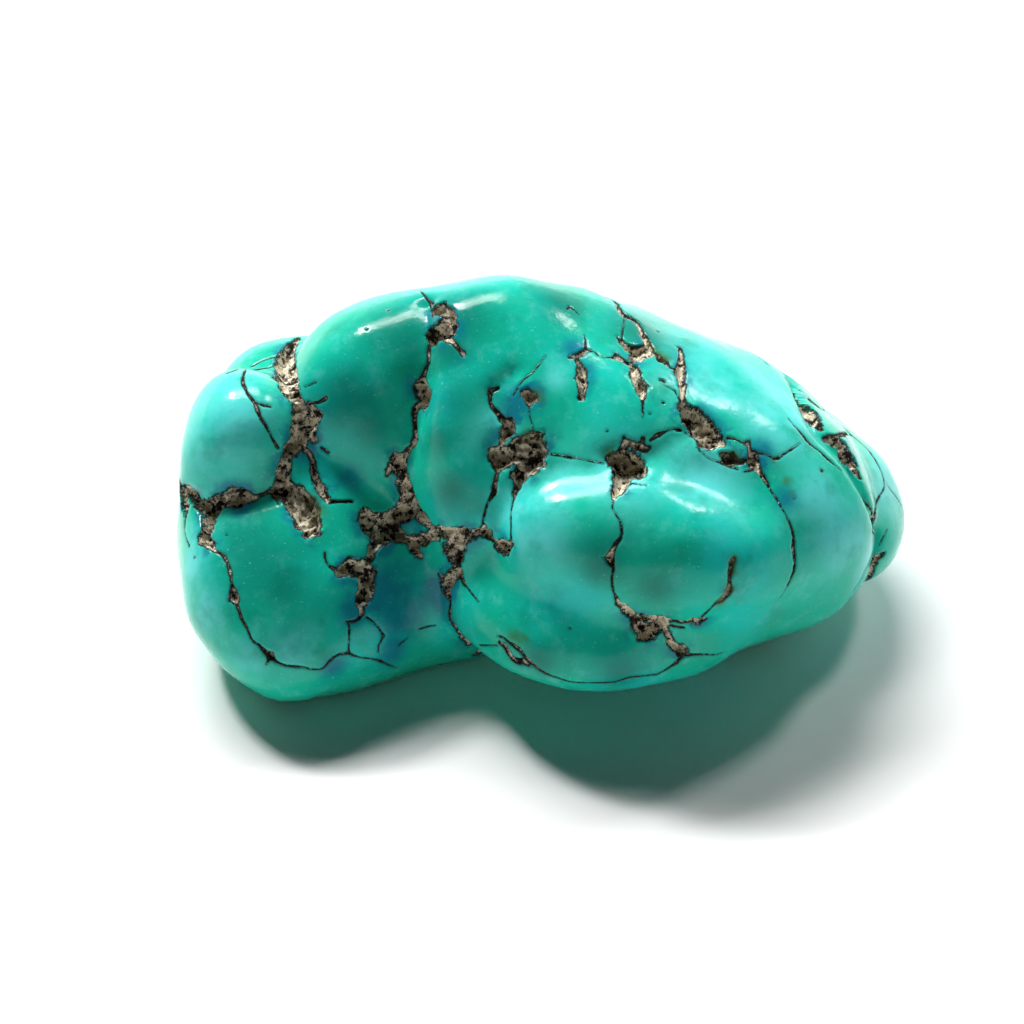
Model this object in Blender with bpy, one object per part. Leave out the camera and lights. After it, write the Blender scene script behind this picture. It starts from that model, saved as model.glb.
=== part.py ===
"""Turquoise nugget: one polished stone of rounded lobes, with matrix pits and veins worn into it.

Sizes are in millimetres and become metres when the mesh is written. The stone lies along X, stands
on Z = 0, and its origin is at the middle of its footprint. Features on the skin are laid out on
drawing sheets: a sheet is a plane through the stone's middle, looked at square-on from a given side,
with u to the right and v up, both from the sheet's centre.
"""

import math

import bmesh
import bpy
import numpy as np
from mathutils import Euler, Vector, noise

MM = 0.001

# ---- Lobes: centre, half-sizes, turn about X, Y and Z in degrees, squareness (2 is round), blend
LOBES = {
    "mesa": ((7.7, 5.8, 11.5), (19.2, 12.1, 12.1), (-10, 10, -6), 2.3, 3.0),
    "top_dome": ((-2.0, 9.3, 15.7), (14.4, 7.7, 10.7), (0, 0, 0), 2.1, 4.0),
    "column": ((-3.3, 3.9, 13.3), (5.5, 7.9, 9.5), (-20, 0, 0), 2.2, 1.5),
    "shoulder": ((-10.2, 8.5, 14.4), (7.6, 6.8, 9.7), (0, 0, 0), 2.3, 1.8),
    "waist": ((-7.2, 3.2, 5.4), (9.4, 7.9, 8.3), (0, 0, 0), 2.2, 1.5),
    "brow": ((10.1, -5.2, 13.0), (10.9, 5.4, 6.8), (0, 9, -4), 2.2, 1.5),
    "head": ((-20.1, 5.8, 13.9), (5.1, 5.6, 6.8), (0, 0, 0), 2.2, 1.5),
    "heel": ((-16.1, 3.5, 8.0), (9.7, 13.9, 8.0), (18, 12, 0), 2.05, 1.6),
    "heel_toe": ((-14.3, 1.2, 4.1), (9.2, 8.7, 6.4), (0, 0, 0), 2.2, 1.5),
    "belly": ((6.8, -2.9, 8.0), (11.6, 9.2, 5.4), (0, 0, 0), 2.2, 2.0),
    "flank": ((17.3, 1.1, 10.8), (10.5, 8.7, 8.5), (0, 0, 10), 2.1, 2.0),
    "nose": ((22.3, 7.7, 9.3), (8.9, 10.0, 5.2), (0, 30, 16), 2.0, 0.5),
    "back_ridge": ((-16.2, 12.2, 10.2), (7.7, 7.0, 8.2), (0, 0, -20), 2.3, 1.4),
    "back_fill": ((-9.0, 12.0, 7.2), (12.0, 8.4, 7.6), (0, 8, 0), 2.3, 3.5),
    "heel_foot": ((-15.0, 3.5, 6.0), (6.5, 7.0, 7.0), (0, 0, 0), 2.0, 2.0),
    "belly_foot": ((8.0, 1.5, 6.0), (9.0, 7.0, 7.0), (0, 0, 0), 2.0, 2.0),
    "back_foot": ((3.0, 13.0, 8.0), (13.0, 9.0, 9.0), (0, 0, 0), 2.2, 2.5),
}
# ---- Strokes: worn ridges (height > 0) and hollows (height < 0): centre, spread, turn, height
STROKES = {
    "brow_groove": ((13.0, -9.6, 9.8), (7.0, 2.5, 1.6), (0, 0, 0), -0.6),
    "column_valley": ((-7.2, 1.0, 17.0), (1.5, 6.0, 6.5), (0, 0, 0), -0.9),
    "plateau_dip": ((3.5, 1.0, 20.5), (2.2, 4.0, 3.0), (0, 0, 0), -0.6),
    "plateau_rise": ((8.3, 1.5, 22.0), (2.2, 2.2, 3.0), (0, 0, 0), 1.1),
    "crown": ((-1.6, 7.0, 26.5), (2.5, 3.0, 2.5), (0, 0, 0), 0.5),
    "heel_dent": ((-19.3, -0.9, 10.0), (4.0, 3.0, 3.0), (0, 0, 0), -0.9),
    "back_hollow": ((-6.0, 20.0, 9.0), (4.0, 4.0, 5.0), (0, 0, 0), -1.2),
    "back_ledge": ((14.0, 19.0, 14.0), (6.0, 3.0, 2.5), (0, 0, 0), 0.8),
}

# ---- Pits and wide cracks, drawn as strokes on sheets: u, v and half-width along each stroke
FRONT_MARKS = {
    "channel": [
        (-16.5, 12.5, 0.4), (-17.0, 11.6, 0.7), (-16.8, 10.5, 0.9), (-16.6, 9.3, 0.7),
        (-16.1, 8.5, 0.4), (-15.9, 7.8, 0.5), (-15.7, 7.0, 0.7), (-15.8, 6.1, 0.8), (-16.1, 5.2, 0.6),
        (-16.6, 4.6, 0.5), (-16.9, 3.8, 0.4), (-17.1, 2.8, 0.6), (-17.4, 1.8, 0.6),
    ],
    "channel_lobe": [(-15.3, 8.0, 0.3), (-14.7, 7.3, 0.4), (-15.0, 6.3, 0.4), (-14.9, 5.4, 0.3)],
    "channel_strand": [
        (-15.9, 4.9, 0.3), (-15.3, 4.5, 0.2), (-14.9, 3.8, 0.2), (-14.8, 2.9, 0.3), (-14.4, 1.9, 0.4),
        (-13.9, 1.1, 0.3),
    ],
    "left_pit": [
        (-17.2, 1.9, 0.6), (-16.2, 1.1, 0.9), (-15.4, 0.0, 1.0), (-15.0, -1.1, 0.7), (-14.5, -1.6, 0.3),
    ],
    "waist_crack": [
        (-24.6, 1.8, 0.3), (-24.1, 1.1, 0.5), (-23.6, 0.5, 0.4), (-23.0, 0.4, 0.5), (-22.8, -0.2, 0.6),
        (-22.9, -1.2, 0.6), (-23.0, -1.9, 0.5), (-22.6, -2.5, 0.4),
    ],
    "waist_branch": [
        (-22.4, 0.5, 0.5), (-21.8, 0.9, 0.4), (-21.0, 1.1, 0.6), (-20.2, 1.1, 0.4), (-19.6, 1.1, 0.3),
        (-17.8, 1.5, 0.2),
    ],
    "hollow_pit": [
        (-12.9, -4.6, 0.3), (-12.2, -4.2, 0.6), (-11.2, -4.3, 0.7), (-10.7, -4.7, 0.5),
        (-10.9, -5.7, 0.7), (-11.2, -6.5, 0.5), (-11.4, -7.0, 0.2),
    ],
    "hollow_spur": [(-10.8, -3.8, 0.3), (-10.6, -3.1, 0.2)],
    "shoulder_pit": [
        (-5.8, 15.4, 0.4), (-5.3, 15.3, 0.5), (-4.7, 14.7, 0.5), (-4.7, 13.8, 0.6), (-5.4, 13.7, 0.9),
        (-6.1, 13.3, 0.6), (-6.1, 12.9, 0.4),
    ],
    "shoulder_tail": [(-4.8, 13.0, 0.4), (-4.5, 12.8, 0.2), (-3.6, 11.8, 0.3)],
    "shoulder_vein": [
        (-6.9, 10.0, 0.2), (-7.0, 9.3, 0.4), (-6.8, 8.7, 0.6), (-6.9, 8.2, 0.4), (-7.4, 7.9, 0.2),
        (-7.6, 5.3, 0.3), (-8.2, 4.3, 0.2),
    ],
    "waist_matrix": [
        (-8.3, 4.1, 0.3), (-8.7, 3.8, 0.4), (-8.4, 3.1, 0.5), (-8.2, 2.2, 0.6), (-7.9, 1.3, 0.8),
        (-7.6, 0.4, 0.9), (-7.0, -0.2, 0.6), (-6.4, -0.9, 0.5), (-5.8, -1.6, 0.5),
    ],
    "waist_loop": [
        (-5.8, -1.6, 0.4), (-6.3, -1.9, 0.4), (-7.0, -2.2, 0.4), (-7.8, -2.2, 0.4), (-8.4, -1.9, 0.4),
        (-9.0, -1.5, 0.8), (-9.9, -1.2, 1.1), (-10.7, -0.6, 0.8), (-10.9, 0.0, 0.4),
    ],
    "waist_drop": [(-9.9, -1.7, 0.7), (-10.3, -2.5, 0.4), (-10.5, -3.0, 0.3), (-10.8, -3.6, 0.2)],
    "waist_spur": [(-8.0, -2.2, 0.3), (-7.3, -2.6, 0.4), (-6.9, -3.3, 0.2)],
    "right_arm": [
        (-5.6, -1.3, 0.3), (-5.0, -1.6, 0.5), (-4.3, -2.1, 0.8), (-4.4, -2.9, 0.8), (-4.3, -3.6, 0.4),
        (-4.0, -4.0, 0.3), (-3.8, -4.9, 0.2),
    ],
    "right_reach": [
        (-3.8, -1.7, 0.6), (-3.0, -1.7, 0.4), (-2.4, -1.5, 0.4), (-1.9, -1.7, 0.4), (-1.4, -2.1, 0.2),
        (-1.1, -2.5, 0.4), (-0.5, -2.6, 0.5), (-0.1, -2.4, 0.3), (-0.4, -3.1, 0.2),
    ],
    "lower_waist": [
        (-4.0, -4.0, 0.3), (-4.3, -4.7, 0.4), (-4.8, -5.1, 0.5), (-5.0, -5.7, 0.4), (-4.7, -6.4, 0.3),
        (-4.7, -7.9, 0.2), (-4.4, -8.4, 0.3), (-4.0, -9.0, 0.3), (-3.6, -9.4, 0.4), (-3.1, -9.9, 0.3),
        (-2.6, -10.2, 0.2), (-2.4, -10.6, 0.2),
    ],
    "centre_crack": [
        (-1.6, 9.2, 0.3), (-0.8, 7.0, 0.3), (-0.4, 6.8, 0.4), (-0.4, 6.1, 0.5), (-0.7, 5.6, 0.4),
        (-0.8, 5.0, 0.2), (-1.3, 4.6, 0.4),
    ],
    "centre_pit": [
        (-1.3, 4.2, 0.5), (-0.8, 4.0, 0.7), (0.0, 4.3, 0.8), (0.9, 4.6, 1.0), (1.6, 5.0, 0.8),
    ],
    "centre_wall": [
        (1.9, 4.4, 0.7), (1.5, 3.7, 0.7), (0.8, 3.1, 0.7), (0.4, 2.5, 0.4), (0.4, 1.9, 0.3),
        (0.2, 1.4, 0.3),
    ],
    "second_pit": [(7.2, 4.1, 0.3), (7.7, 3.9, 0.6), (8.4, 3.8, 0.8), (9.2, 3.4, 0.8), (9.6, 3.1, 0.5)],
    "second_drop": [(8.2, 2.9, 0.8), (8.1, 2.2, 0.5), (7.8, 1.6, 0.4), (7.6, 1.1, 0.2)],
    "second_brow": [
        (8.2, 4.5, 0.4), (8.6, 5.2, 0.2), (9.3, 5.0, 0.3), (10.0, 4.8, 0.3), (10.3, 4.9, 0.2),
    ],
    "belly_vein": [
        (7.6, -2.8, 0.2), (7.3, -3.4, 0.3), (7.4, -3.8, 0.3), (8.0, -6.9, 0.2), (8.4, -7.1, 0.3),
        (8.7, -7.5, 0.4), (9.2, -7.9, 0.4), (9.6, -8.0, 0.4), (10.2, -8.1, 0.4), (10.7, -8.2, 0.4),
        (11.2, -8.2, 0.4),
    ],
    "belly_pit": [
        (9.3, -8.2, 0.4), (9.6, -8.7, 0.5), (10.0, -8.9, 0.6), (10.5, -8.9, 0.5), (11.1, -8.7, 0.6),
        (11.5, -8.6, 0.4),
    ],
    "belly_toe": [(10.2, -9.2, 0.4), (9.8, -9.4, 0.4)],
    "belly_reach": [
        (11.4, -8.2, 0.4), (12.2, -8.2, 0.2), (12.9, -8.3, 0.2), (13.5, -8.1, 0.3), (13.9, -8.2, 0.4),
        (14.3, -8.1, 0.3),
    ],
    "belly_down": [
        (11.4, -8.8, 0.4), (11.8, -9.4, 0.2), (11.9, -9.8, 0.3), (12.3, -10.1, 0.4), (12.8, -10.4, 0.4),
        (12.9, -10.7, 0.2),
    ],
    "third_pit": [
        (13.0, 7.8, 0.4), (13.5, 7.3, 0.8), (13.9, 6.8, 0.8), (14.4, 6.3, 0.8), (15.0, 5.8, 0.8),
        (15.4, 5.4, 0.6), (15.0, 5.1, 0.4), (14.3, 5.2, 0.4),
    ],
    "third_green": [(15.8, 4.3, 0.3), (16.4, 4.0, 0.4), (16.9, 3.7, 0.3), (17.5, 3.9, 0.2)],
    "third_twig": [(17.9, 4.2, 0.3), (18.1, 3.8, 0.4), (18.4, 3.3, 0.3), (18.6, 2.9, 0.2)],
    "top_weave": [(5.2, 11.9, 0.3), (5.5, 12.1, 0.2), (7.9, 11.7, 0.3)],
    "top_strand": [
        (5.1, 10.9, 0.3), (5.2, 10.3, 0.4), (5.2, 9.7, 0.4), (5.3, 9.2, 0.3), (5.2, 8.6, 0.3),
    ],
    "net_top": [
        (8.1, 15.1, 0.2), (8.4, 14.7, 0.3), (8.8, 14.6, 0.3), (9.3, 14.3, 0.2), (9.8, 13.4, 0.2),
        (10.0, 13.0, 0.3), (10.2, 12.6, 0.3), (10.2, 12.2, 0.4),
    ],
    "net_loop": [
        (8.3, 12.7, 0.3), (8.7, 12.3, 0.4), (9.2, 12.1, 0.4), (9.8, 12.2, 0.4), (10.2, 12.4, 0.3),
    ],
    "net_low": [
        (8.0, 11.6, 0.3), (8.4, 11.3, 0.3), (8.8, 11.1, 0.3), (9.1, 10.9, 0.4), (9.3, 10.5, 0.4),
        (9.4, 9.9, 0.4), (9.7, 9.4, 0.4), (9.8, 8.9, 0.4),
    ],
    "net_right": [
        (9.1, 11.5, 0.4), (9.6, 11.7, 0.4), (10.2, 11.9, 0.3), (10.6, 11.9, 0.2), (10.9, 11.8, 0.2),
        (11.2, 11.4, 0.3), (11.5, 11.2, 0.2), (12.5, 10.6, 0.3),
    ],
    "net_strand": [
        (12.6, 12.3, 0.2), (12.7, 11.7, 0.3), (12.7, 11.1, 0.3), (12.6, 10.5, 0.4), (12.7, 9.8, 0.4),
        (12.8, 9.2, 0.3), (12.8, 8.5, 0.2), (12.9, 8.1, 0.2),
    ],
    "crease_pit": [
        (21.2, 9.3, 0.2), (21.5, 8.6, 0.3), (21.9, 8.1, 0.5), (22.4, 7.6, 0.7), (22.8, 6.9, 0.4),
        (23.2, 6.3, 0.2),
    ],
    "crease_top": [(22.4, 8.3, 0.4), (22.9, 7.9, 0.3)],
    "crease_pit_b": [
        (23.6, 5.7, 0.2), (24.1, 5.4, 0.4), (24.8, 5.0, 0.5), (25.2, 4.3, 0.6), (25.6, 3.7, 0.5),
        (25.9, 3.0, 0.3),
    ],
    "toe_pit": [(27.4, -3.4, 0.3), (27.1, -4.0, 0.4), (26.8, -4.8, 0.3), (26.4, -5.5, 0.2)],
    "bottom_pit": [
        (-0.9, -9.8, 0.2), (-0.6, -10.0, 0.3), (-0.3, -10.4, 0.2), (-0.1, -10.9, 0.2),
        (0.4, -11.2, 0.3), (0.8, -11.2, 0.3),
    ],
}
BACK_MARKS = {
    "back_pit": [(2.0, -3.5, 0.3), (4.0, -4.2, 0.8), (6.0, -5.4, 1.1), (7.6, -6.8, 0.8), (8.2, -8.6, 0.4)],
    "back_spur": [(6.0, -5.4, 0.7), (8.0, -4.6, 0.5), (9.8, -4.6, 0.3)],
    "back_crack": [(8.2, -8.6, 0.3), (9.6, -10.0, 0.3), (10.2, -12.0, 0.5), (12.0, -13.4, 0.5)],
    "hollow_pocket": [(-12.6, -6.4, 0.4), (-11.0, -7.0, 0.9), (-9.6, -8.4, 1.1), (-9.0, -10.2, 0.7)],
    "hollow_arm": [(-9.6, -8.4, 0.5), (-7.6, -8.0, 0.4), (-5.4, -8.8, 0.5), (-3.8, -10.4, 0.4)],
    "ledge_pit": [(-20.4, -6.4, 0.3), (-18.8, -7.4, 0.7), (-17.4, -7.8, 0.8), (-16.2, -8.8, 0.4)],
    "crown_pit": [(-3.4, 0.8, 0.4), (-2.0, -0.2, 0.7), (-0.4, -0.6, 0.6), (0.8, -1.6, 0.4)],
    "ridge_pit": [(16.6, -4.0, 0.4), (17.4, -5.2, 0.8), (18.0, -6.8, 0.9), (17.2, -8.2, 0.5)],
    "ridge_arm": [(18.0, -6.8, 0.5), (20.0, -7.6, 0.4), (21.6, -9.2, 0.4)],
}
LEFT_MARKS = {
    "cheek_pit": [(-12.6, -1.8, 0.4), (-11.2, -2.6, 0.8), (-9.8, -3.8, 0.9), (-9.2, -5.4, 0.5)],
    "cheek_arm": [(-11.2, -2.6, 0.5), (-12.4, -4.4, 0.4), (-14.4, -5.4, 0.5), (-15.8, -7.0, 0.4)],
    "heel_pit": [(-4.4, -7.4, 0.3), (-3.2, -8.4, 0.7), (-2.0, -8.8, 0.5)],
}
RIGHT_MARKS = {
    "nose_pit": [(9.4, -4.0, 0.4), (10.8, -5.0, 0.8), (11.8, -6.4, 0.9), (11.4, -7.8, 0.5)],
    "nose_arm": [(10.8, -5.0, 0.5), (12.6, -4.2, 0.4), (14.4, -4.8, 0.5), (16.0, -6.4, 0.4)],
    "flank_pit": [(-1.6, -8.4, 0.3), (-0.4, -9.0, 0.7), (0.8, -8.8, 0.5), (1.8, -9.6, 0.3)],
}
# ---- Valleys: soft grooves between lobes, drawn on the front sheet: depth, then u, v and half-width
VALLEYS = {
    "nose_crease": (0.5, [
        (20.2, 10.8, 0.3), (21.1, 9.6, 0.5), (22.8, 6.2, 0.6), (24.6, 4.3, 0.6), (26.2, 1.8, 0.5),
        (27.1, -0.4, 0.5), (27.3, -2.6, 0.5), (26.4, -4.8, 0.5), (25.2, -6.8, 0.3),
    ]),
    "shoulder_valley": (0.6, [(-6.6, 15.6, 0.8), (-6.5, 12.0, 1.2), (-6.9, 9.3, 1.2), (-8.1, 4.6, 1.2)]),
    "centre_valley": (0.5, [(0.0, 10.5, 0.8), (-1.3, 8.8, 1.1), (-0.6, 6.5, 1.2), (-1.1, 4.3, 1.2)]),
    "waist_valley": (0.5, [(-24.1, 1.1, 0.9), (-22.5, 0.3, 1.1), (-20.4, 0.9, 1.1), (-18.3, 1.4, 0.9)]),
    "saddle": (0.35, [(7.6, 3.9, 1.0), (9.6, 3.8, 1.1), (11.7, 5.0, 1.1), (14.6, 6.4, 1.1)]),
}
# A sheet stands square-on to a viewer who has gone round the stone by the first angle and up by the second
SHEETS = (
    (0, 40, FRONT_MARKS),
    (180, 25, BACK_MARKS),
    (-90, 15, LEFT_MARKS),
    (90, 15, RIGHT_MARKS),
)
SHEET_MIDDLE = np.array((0.0, 0.0, 13.0))  # where the sheets cross, and where u and v are zero
THROW = 213.0  # marks are thrown onto the skin from this far off, spreading as lamplight does
FINE = 0.72  # longest edge of a triangle near a mark
COARSE_CUTS = 5  # subdivisions of the ball that the rest of the skin is made from
PIT_DEPTH = 0.85
PIT_WALL = 0.55  # a pit reaches its full depth this far in from its edge
RIM = 0.15  # and its edge is rounded over this far out
REACH = 1.2  # how far from a mark the mesh is made finer

# ---- Waves: the skin's faint unevenness: height, waves per millimetre along X, Y and Z, and phase
WAVES = (
    (0.10, (0.085, 0.040, 0.030), 0.4),
    (0.09, (-0.045, 0.100, 0.035), 1.9),
    (0.07, (0.030, -0.065, 0.125), 3.1),
    (0.05, (0.140, 0.110, -0.070), 4.6),
    (0.04, (-0.150, 0.090, 0.150), 0.9),
)

FOOT_EDGE = 0.5  # how softly the ground-down feet round over into the stone
MIDDLE = np.array((1.5, 3.5, 12.0))  # every skin point is seen from here
SHELL = (36.0, 27.0, 22.0)  # half-sizes of an egg round the stone
SPINE = (22.0, 5.0, 0.0)  # half-sizes of the flat core that the egg's points head for
FOOTPRINT = (2.39, 4.9)  # the middle of the stone's outline from above, which becomes the origin


def turning(degrees):
    """The matrix that turns by the given angles about X, then Y, then Z."""
    return np.array(Euler([math.radians(angle) for angle in degrees]).to_matrix())


def soft_union(a, b, blend):
    mix = np.maximum(blend - np.abs(a - b), 0.0) / blend
    return np.minimum(a, b) - mix * mix * blend * 0.25


def soft_trim(a, b, blend):
    return -soft_union(-a, -b, blend)


def stone_field(points):
    """Roughly the distance from the stone's skin, negative inside."""
    field = None
    for centre, radii, turn, square, blend in LOBES.values():
        local = np.abs((points - np.array(centre)) @ turning(turn)) / np.array(radii) + 1e-9
        near = (local**square).sum(-1) ** (1.0 / square)
        slope = np.sqrt((((local / near[..., None]) ** (square - 1) / np.array(radii)) ** 2).sum(-1))
        lobe = (near - 1.0) / slope
        field = lobe if field is None else soft_union(field, lobe, blend)
    for centre, spread, turn, height in STROKES.values():
        local = ((points - np.array(centre)) @ turning(turn)) / np.array(spread)
        field = field - height * np.exp(-0.5 * (local**2).sum(-1))
    for height, beat, phase in WAVES:
        field = field - height * np.sin(2.0 * math.pi * (points @ np.array(beat)) + phase)
    return soft_trim(field, -points[..., 2], FOOT_EDGE)


def skin_normal(points):
    step = np.eye(3) * 0.02
    slope = np.stack([stone_field(points + d) - stone_field(points - d) for d in step], axis=-1)
    return slope / np.maximum(np.linalg.norm(slope, axis=-1, keepdims=True), 1e-9)


def first_hit(start, direction, reach):
    """The skin point each ray meets first, walking from start along direction."""
    walked = np.zeros(len(start))
    live = np.ones(len(start), bool)
    for _ in range(90):
        where = start[live] + direction[live] * walked[live, None]
        step = stone_field(where)
        walked[live] += step * 0.7
        still = (np.abs(step) > 1e-4) & (walked[live] < reach)
        live[np.flatnonzero(live)[~still]] = False
        if not live.any():
            break
    return walked, walked < reach


def onto_skin(shell):
    """Skin points met on the way in from shell points towards the stone's spine."""
    start = shell * np.array(SHELL) + MIDDLE
    inward = shell * np.array(SPINE) + MIDDLE - start
    inward /= np.linalg.norm(inward, axis=1, keepdims=True)
    walked, _ = first_hit(start, inward, 60.0)
    return start + inward * walked[:, None]


def settle(bm, rounds):
    """Evens out the vertices along the skin: each round relaxes them, then drops them back onto it."""
    for _ in range(rounds):
        bmesh.ops.smooth_vert(bm, verts=bm.verts, factor=0.5, use_axis_x=True, use_axis_y=True, use_axis_z=True)
        points = corners(bm)
        for _ in range(2):
            points = points - skin_normal(points) * stone_field(points)[:, None]
        move_corners(bm, points)


def smooth_curve(points, step):
    """A smooth (Catmull-Rom) curve through the given points, in steps of about the given length."""
    points = np.array(points, float)
    points = np.vstack([2 * points[0] - points[1], points, 2 * points[-1] - points[-2]])
    run = []
    for before, start, end, after in zip(points, points[1:], points[2:], points[3:]):
        count = max(int(np.linalg.norm((end - start)[:2]) / step), 1)
        along = np.arange(count)[:, None] / count
        bend = 2 * before - 5 * start + 4 * end - after
        twist = 3 * start - before - 3 * end + after
        run.append(0.5 * (2 * start + (end - before) * along + bend * along**2 + twist * along**3))
    run.append(points[-2:-1])
    return np.vstack(run)


def thrown(turn, rise, stroke):
    """The stretch of skin under one stroke of a sheet: points on the skin, and half-widths there."""
    turn, rise = math.radians(turn), math.radians(rise)
    right = np.array((math.cos(turn), math.sin(turn), 0.0))
    back = np.array((math.sin(turn) * math.cos(rise), -math.cos(turn) * math.cos(rise), math.sin(rise)))
    up = np.cross(back, right)
    curve = smooth_curve(stroke, 0.3)
    spots = SHEET_MIDDLE + curve[:, :1] * right + curve[:, 1:2] * up
    aim = spots - (SHEET_MIDDLE + back * THROW)
    aim /= np.linalg.norm(aim, axis=1, keepdims=True)
    start = spots - aim * 30.0
    walked, met = first_hit(start, aim, 60.0)
    skin = start + aim * walked[:, None]
    return skin[met], np.maximum(curve[met, 2], 0.05)


def inside_marks(points, trails):
    """How far each point lies inside the edge of a mark; minus how far outside, down to -REACH."""
    inside = np.full(len(points), -REACH)
    for spots, widths in trails:
        margin = REACH + widths.max()
        box = (points > spots.min(0) - margin) & (points < spots.max(0) + margin)
        near = np.flatnonzero(box.all(1))
        for a, b, wide_a, wide_b in zip(spots, spots[1:], widths, widths[1:]):
            run = b - a
            along = np.clip((points[near] - a) @ run / max(run @ run, 1e-9), 0.0, 1.0)
            gap = np.linalg.norm(points[near] - a - along[:, None] * run, axis=1)
            inside[near] = np.maximum(inside[near], wide_a + (wide_b - wide_a) * along - gap)
    return inside


def corners(bm):
    return np.array([v.co for v in bm.verts])


def move_corners(bm, points):
    for vertex, point in zip(bm.verts, points):
        vertex.co = Vector(point)


def refine(bm, trails):
    """Splits the long edges near the marks, then settles the new corners on the skin."""
    for _ in range(3):
        bm.verts.index_update()
        near = inside_marks(corners(bm), trails) > -0.3
        long = [e for e in bm.edges if near[[v.index for v in e.verts]].any() and e.calc_length() > FINE * 1.4]
        if not long:
            break
        bmesh.ops.subdivide_edges(bm, edges=long, cuts=1, use_grid_fill=True)
        bmesh.ops.triangulate(bm, faces=[f for f in bm.faces if len(f.verts) > 3])
        settle(bm, 2)


def valley_depth(points):
    """How deep the soft grooves between the lobes are at each point."""
    sunk = np.zeros(len(points))
    for deepest, line in VALLEYS.values():
        spots, widths = thrown(0, 40, line)
        margin = 3.0 * widths.max()
        box = (points > spots.min(0) - margin) & (points < spots.max(0) + margin)
        near = np.flatnonzero(box.all(1))
        gaps = np.linalg.norm(points[near][:, None] - spots[None], axis=2) / widths[None]
        sunk[near] = np.maximum(sunk[near], deepest * np.exp(-(gaps.min(1) ** 2)))
    return sunk


def carve(bm, trails):
    """Sinks the skin inside the marks: steep walls, an uneven floor, and no deeper where a mark is thin."""
    points = corners(bm)
    rough = np.array([noise.noise(Vector(point * 1.1)) for point in points])
    inside = inside_marks(points, trails) + 0.15 * rough
    sunk = np.clip((inside + RIM) / (PIT_WALL + RIM), 0.0, 1.0)
    sunk = PIT_DEPTH * sunk * sunk * (3.0 - 2.0 * sunk) * (1.0 + 0.35 * rough) + valley_depth(points)
    sunk *= np.clip(points[:, 2] - 0.5, 0.0, 1.0)
    move_corners(bm, points - skin_normal(points) * sunk[:, None])


def stone_mesh(subdivisions):
    bm = bmesh.new()
    bmesh.ops.create_icosphere(bm, subdivisions=subdivisions, radius=1.0)
    move_corners(bm, onto_skin(corners(bm)))
    settle(bm, 8)
    trails = [thrown(turn, rise, stroke) for turn, rise, sheet in SHEETS for stroke in sheet.values()]
    trails = [trail for trail in trails if len(trail[0]) > 1]
    refine(bm, trails)
    carve(bm, trails)
    for vertex in bm.verts:
        if vertex.co.z < 0.02:
            vertex.co.z = 0.0
    bmesh.ops.translate(bm, vec=Vector((-FOOTPRINT[0], -FOOTPRINT[1], 0.0)), verts=bm.verts)
    bmesh.ops.scale(bm, vec=Vector((MM, MM, MM)), verts=bm.verts)
    return bm


def turquoise():
    material = bpy.data.materials.new("turquoise")
    material.use_nodes = True
    shader = material.node_tree.nodes["Principled BSDF"]
    shader.inputs["Base Color"].default_value = (0.02, 0.42, 0.38, 1.0)
    shader.inputs["Roughness"].default_value = 0.2
    return material


def main():
    for old in list(bpy.data.objects):
        bpy.data.objects.remove(old)
    bm = stone_mesh(COARSE_CUTS)
    mesh = bpy.data.meshes.new("nugget")
    bm.to_mesh(mesh)
    bm.free()
    mesh.materials.append(turquoise())
    stone = bpy.data.objects.new("nugget", mesh)
    bpy.context.scene.collection.objects.link(stone)


main()
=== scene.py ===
"""The dressed turquoise nugget: a fine polished skin with its pits, cracks and matrix, on a pale floor.

The stone is worked out in millimetres on the lobes it is made of, and becomes metres at the end. Marks on
its skin are drawn on sheets: a sheet stands square-on to a viewer who has gone round the stone by one
angle and up by another, with u to the right and v up, both from SHEET_MIDDLE.
"""

import math

import bmesh
import bpy
import numpy as np
from mathutils import Euler, Matrix, Vector, noise

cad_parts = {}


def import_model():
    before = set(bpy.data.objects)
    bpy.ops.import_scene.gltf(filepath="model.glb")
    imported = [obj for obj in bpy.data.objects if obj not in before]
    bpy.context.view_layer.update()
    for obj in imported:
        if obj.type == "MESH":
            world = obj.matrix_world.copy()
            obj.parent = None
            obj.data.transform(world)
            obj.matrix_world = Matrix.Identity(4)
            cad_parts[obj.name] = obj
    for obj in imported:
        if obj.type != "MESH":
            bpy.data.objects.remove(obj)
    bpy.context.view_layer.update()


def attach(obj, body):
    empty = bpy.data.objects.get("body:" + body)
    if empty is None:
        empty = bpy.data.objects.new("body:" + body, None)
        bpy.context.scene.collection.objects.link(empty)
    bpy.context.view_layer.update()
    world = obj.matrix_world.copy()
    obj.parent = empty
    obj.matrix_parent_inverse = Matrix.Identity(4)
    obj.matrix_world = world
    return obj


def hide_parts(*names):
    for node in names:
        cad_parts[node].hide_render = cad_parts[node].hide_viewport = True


MM = 0.001

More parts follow.
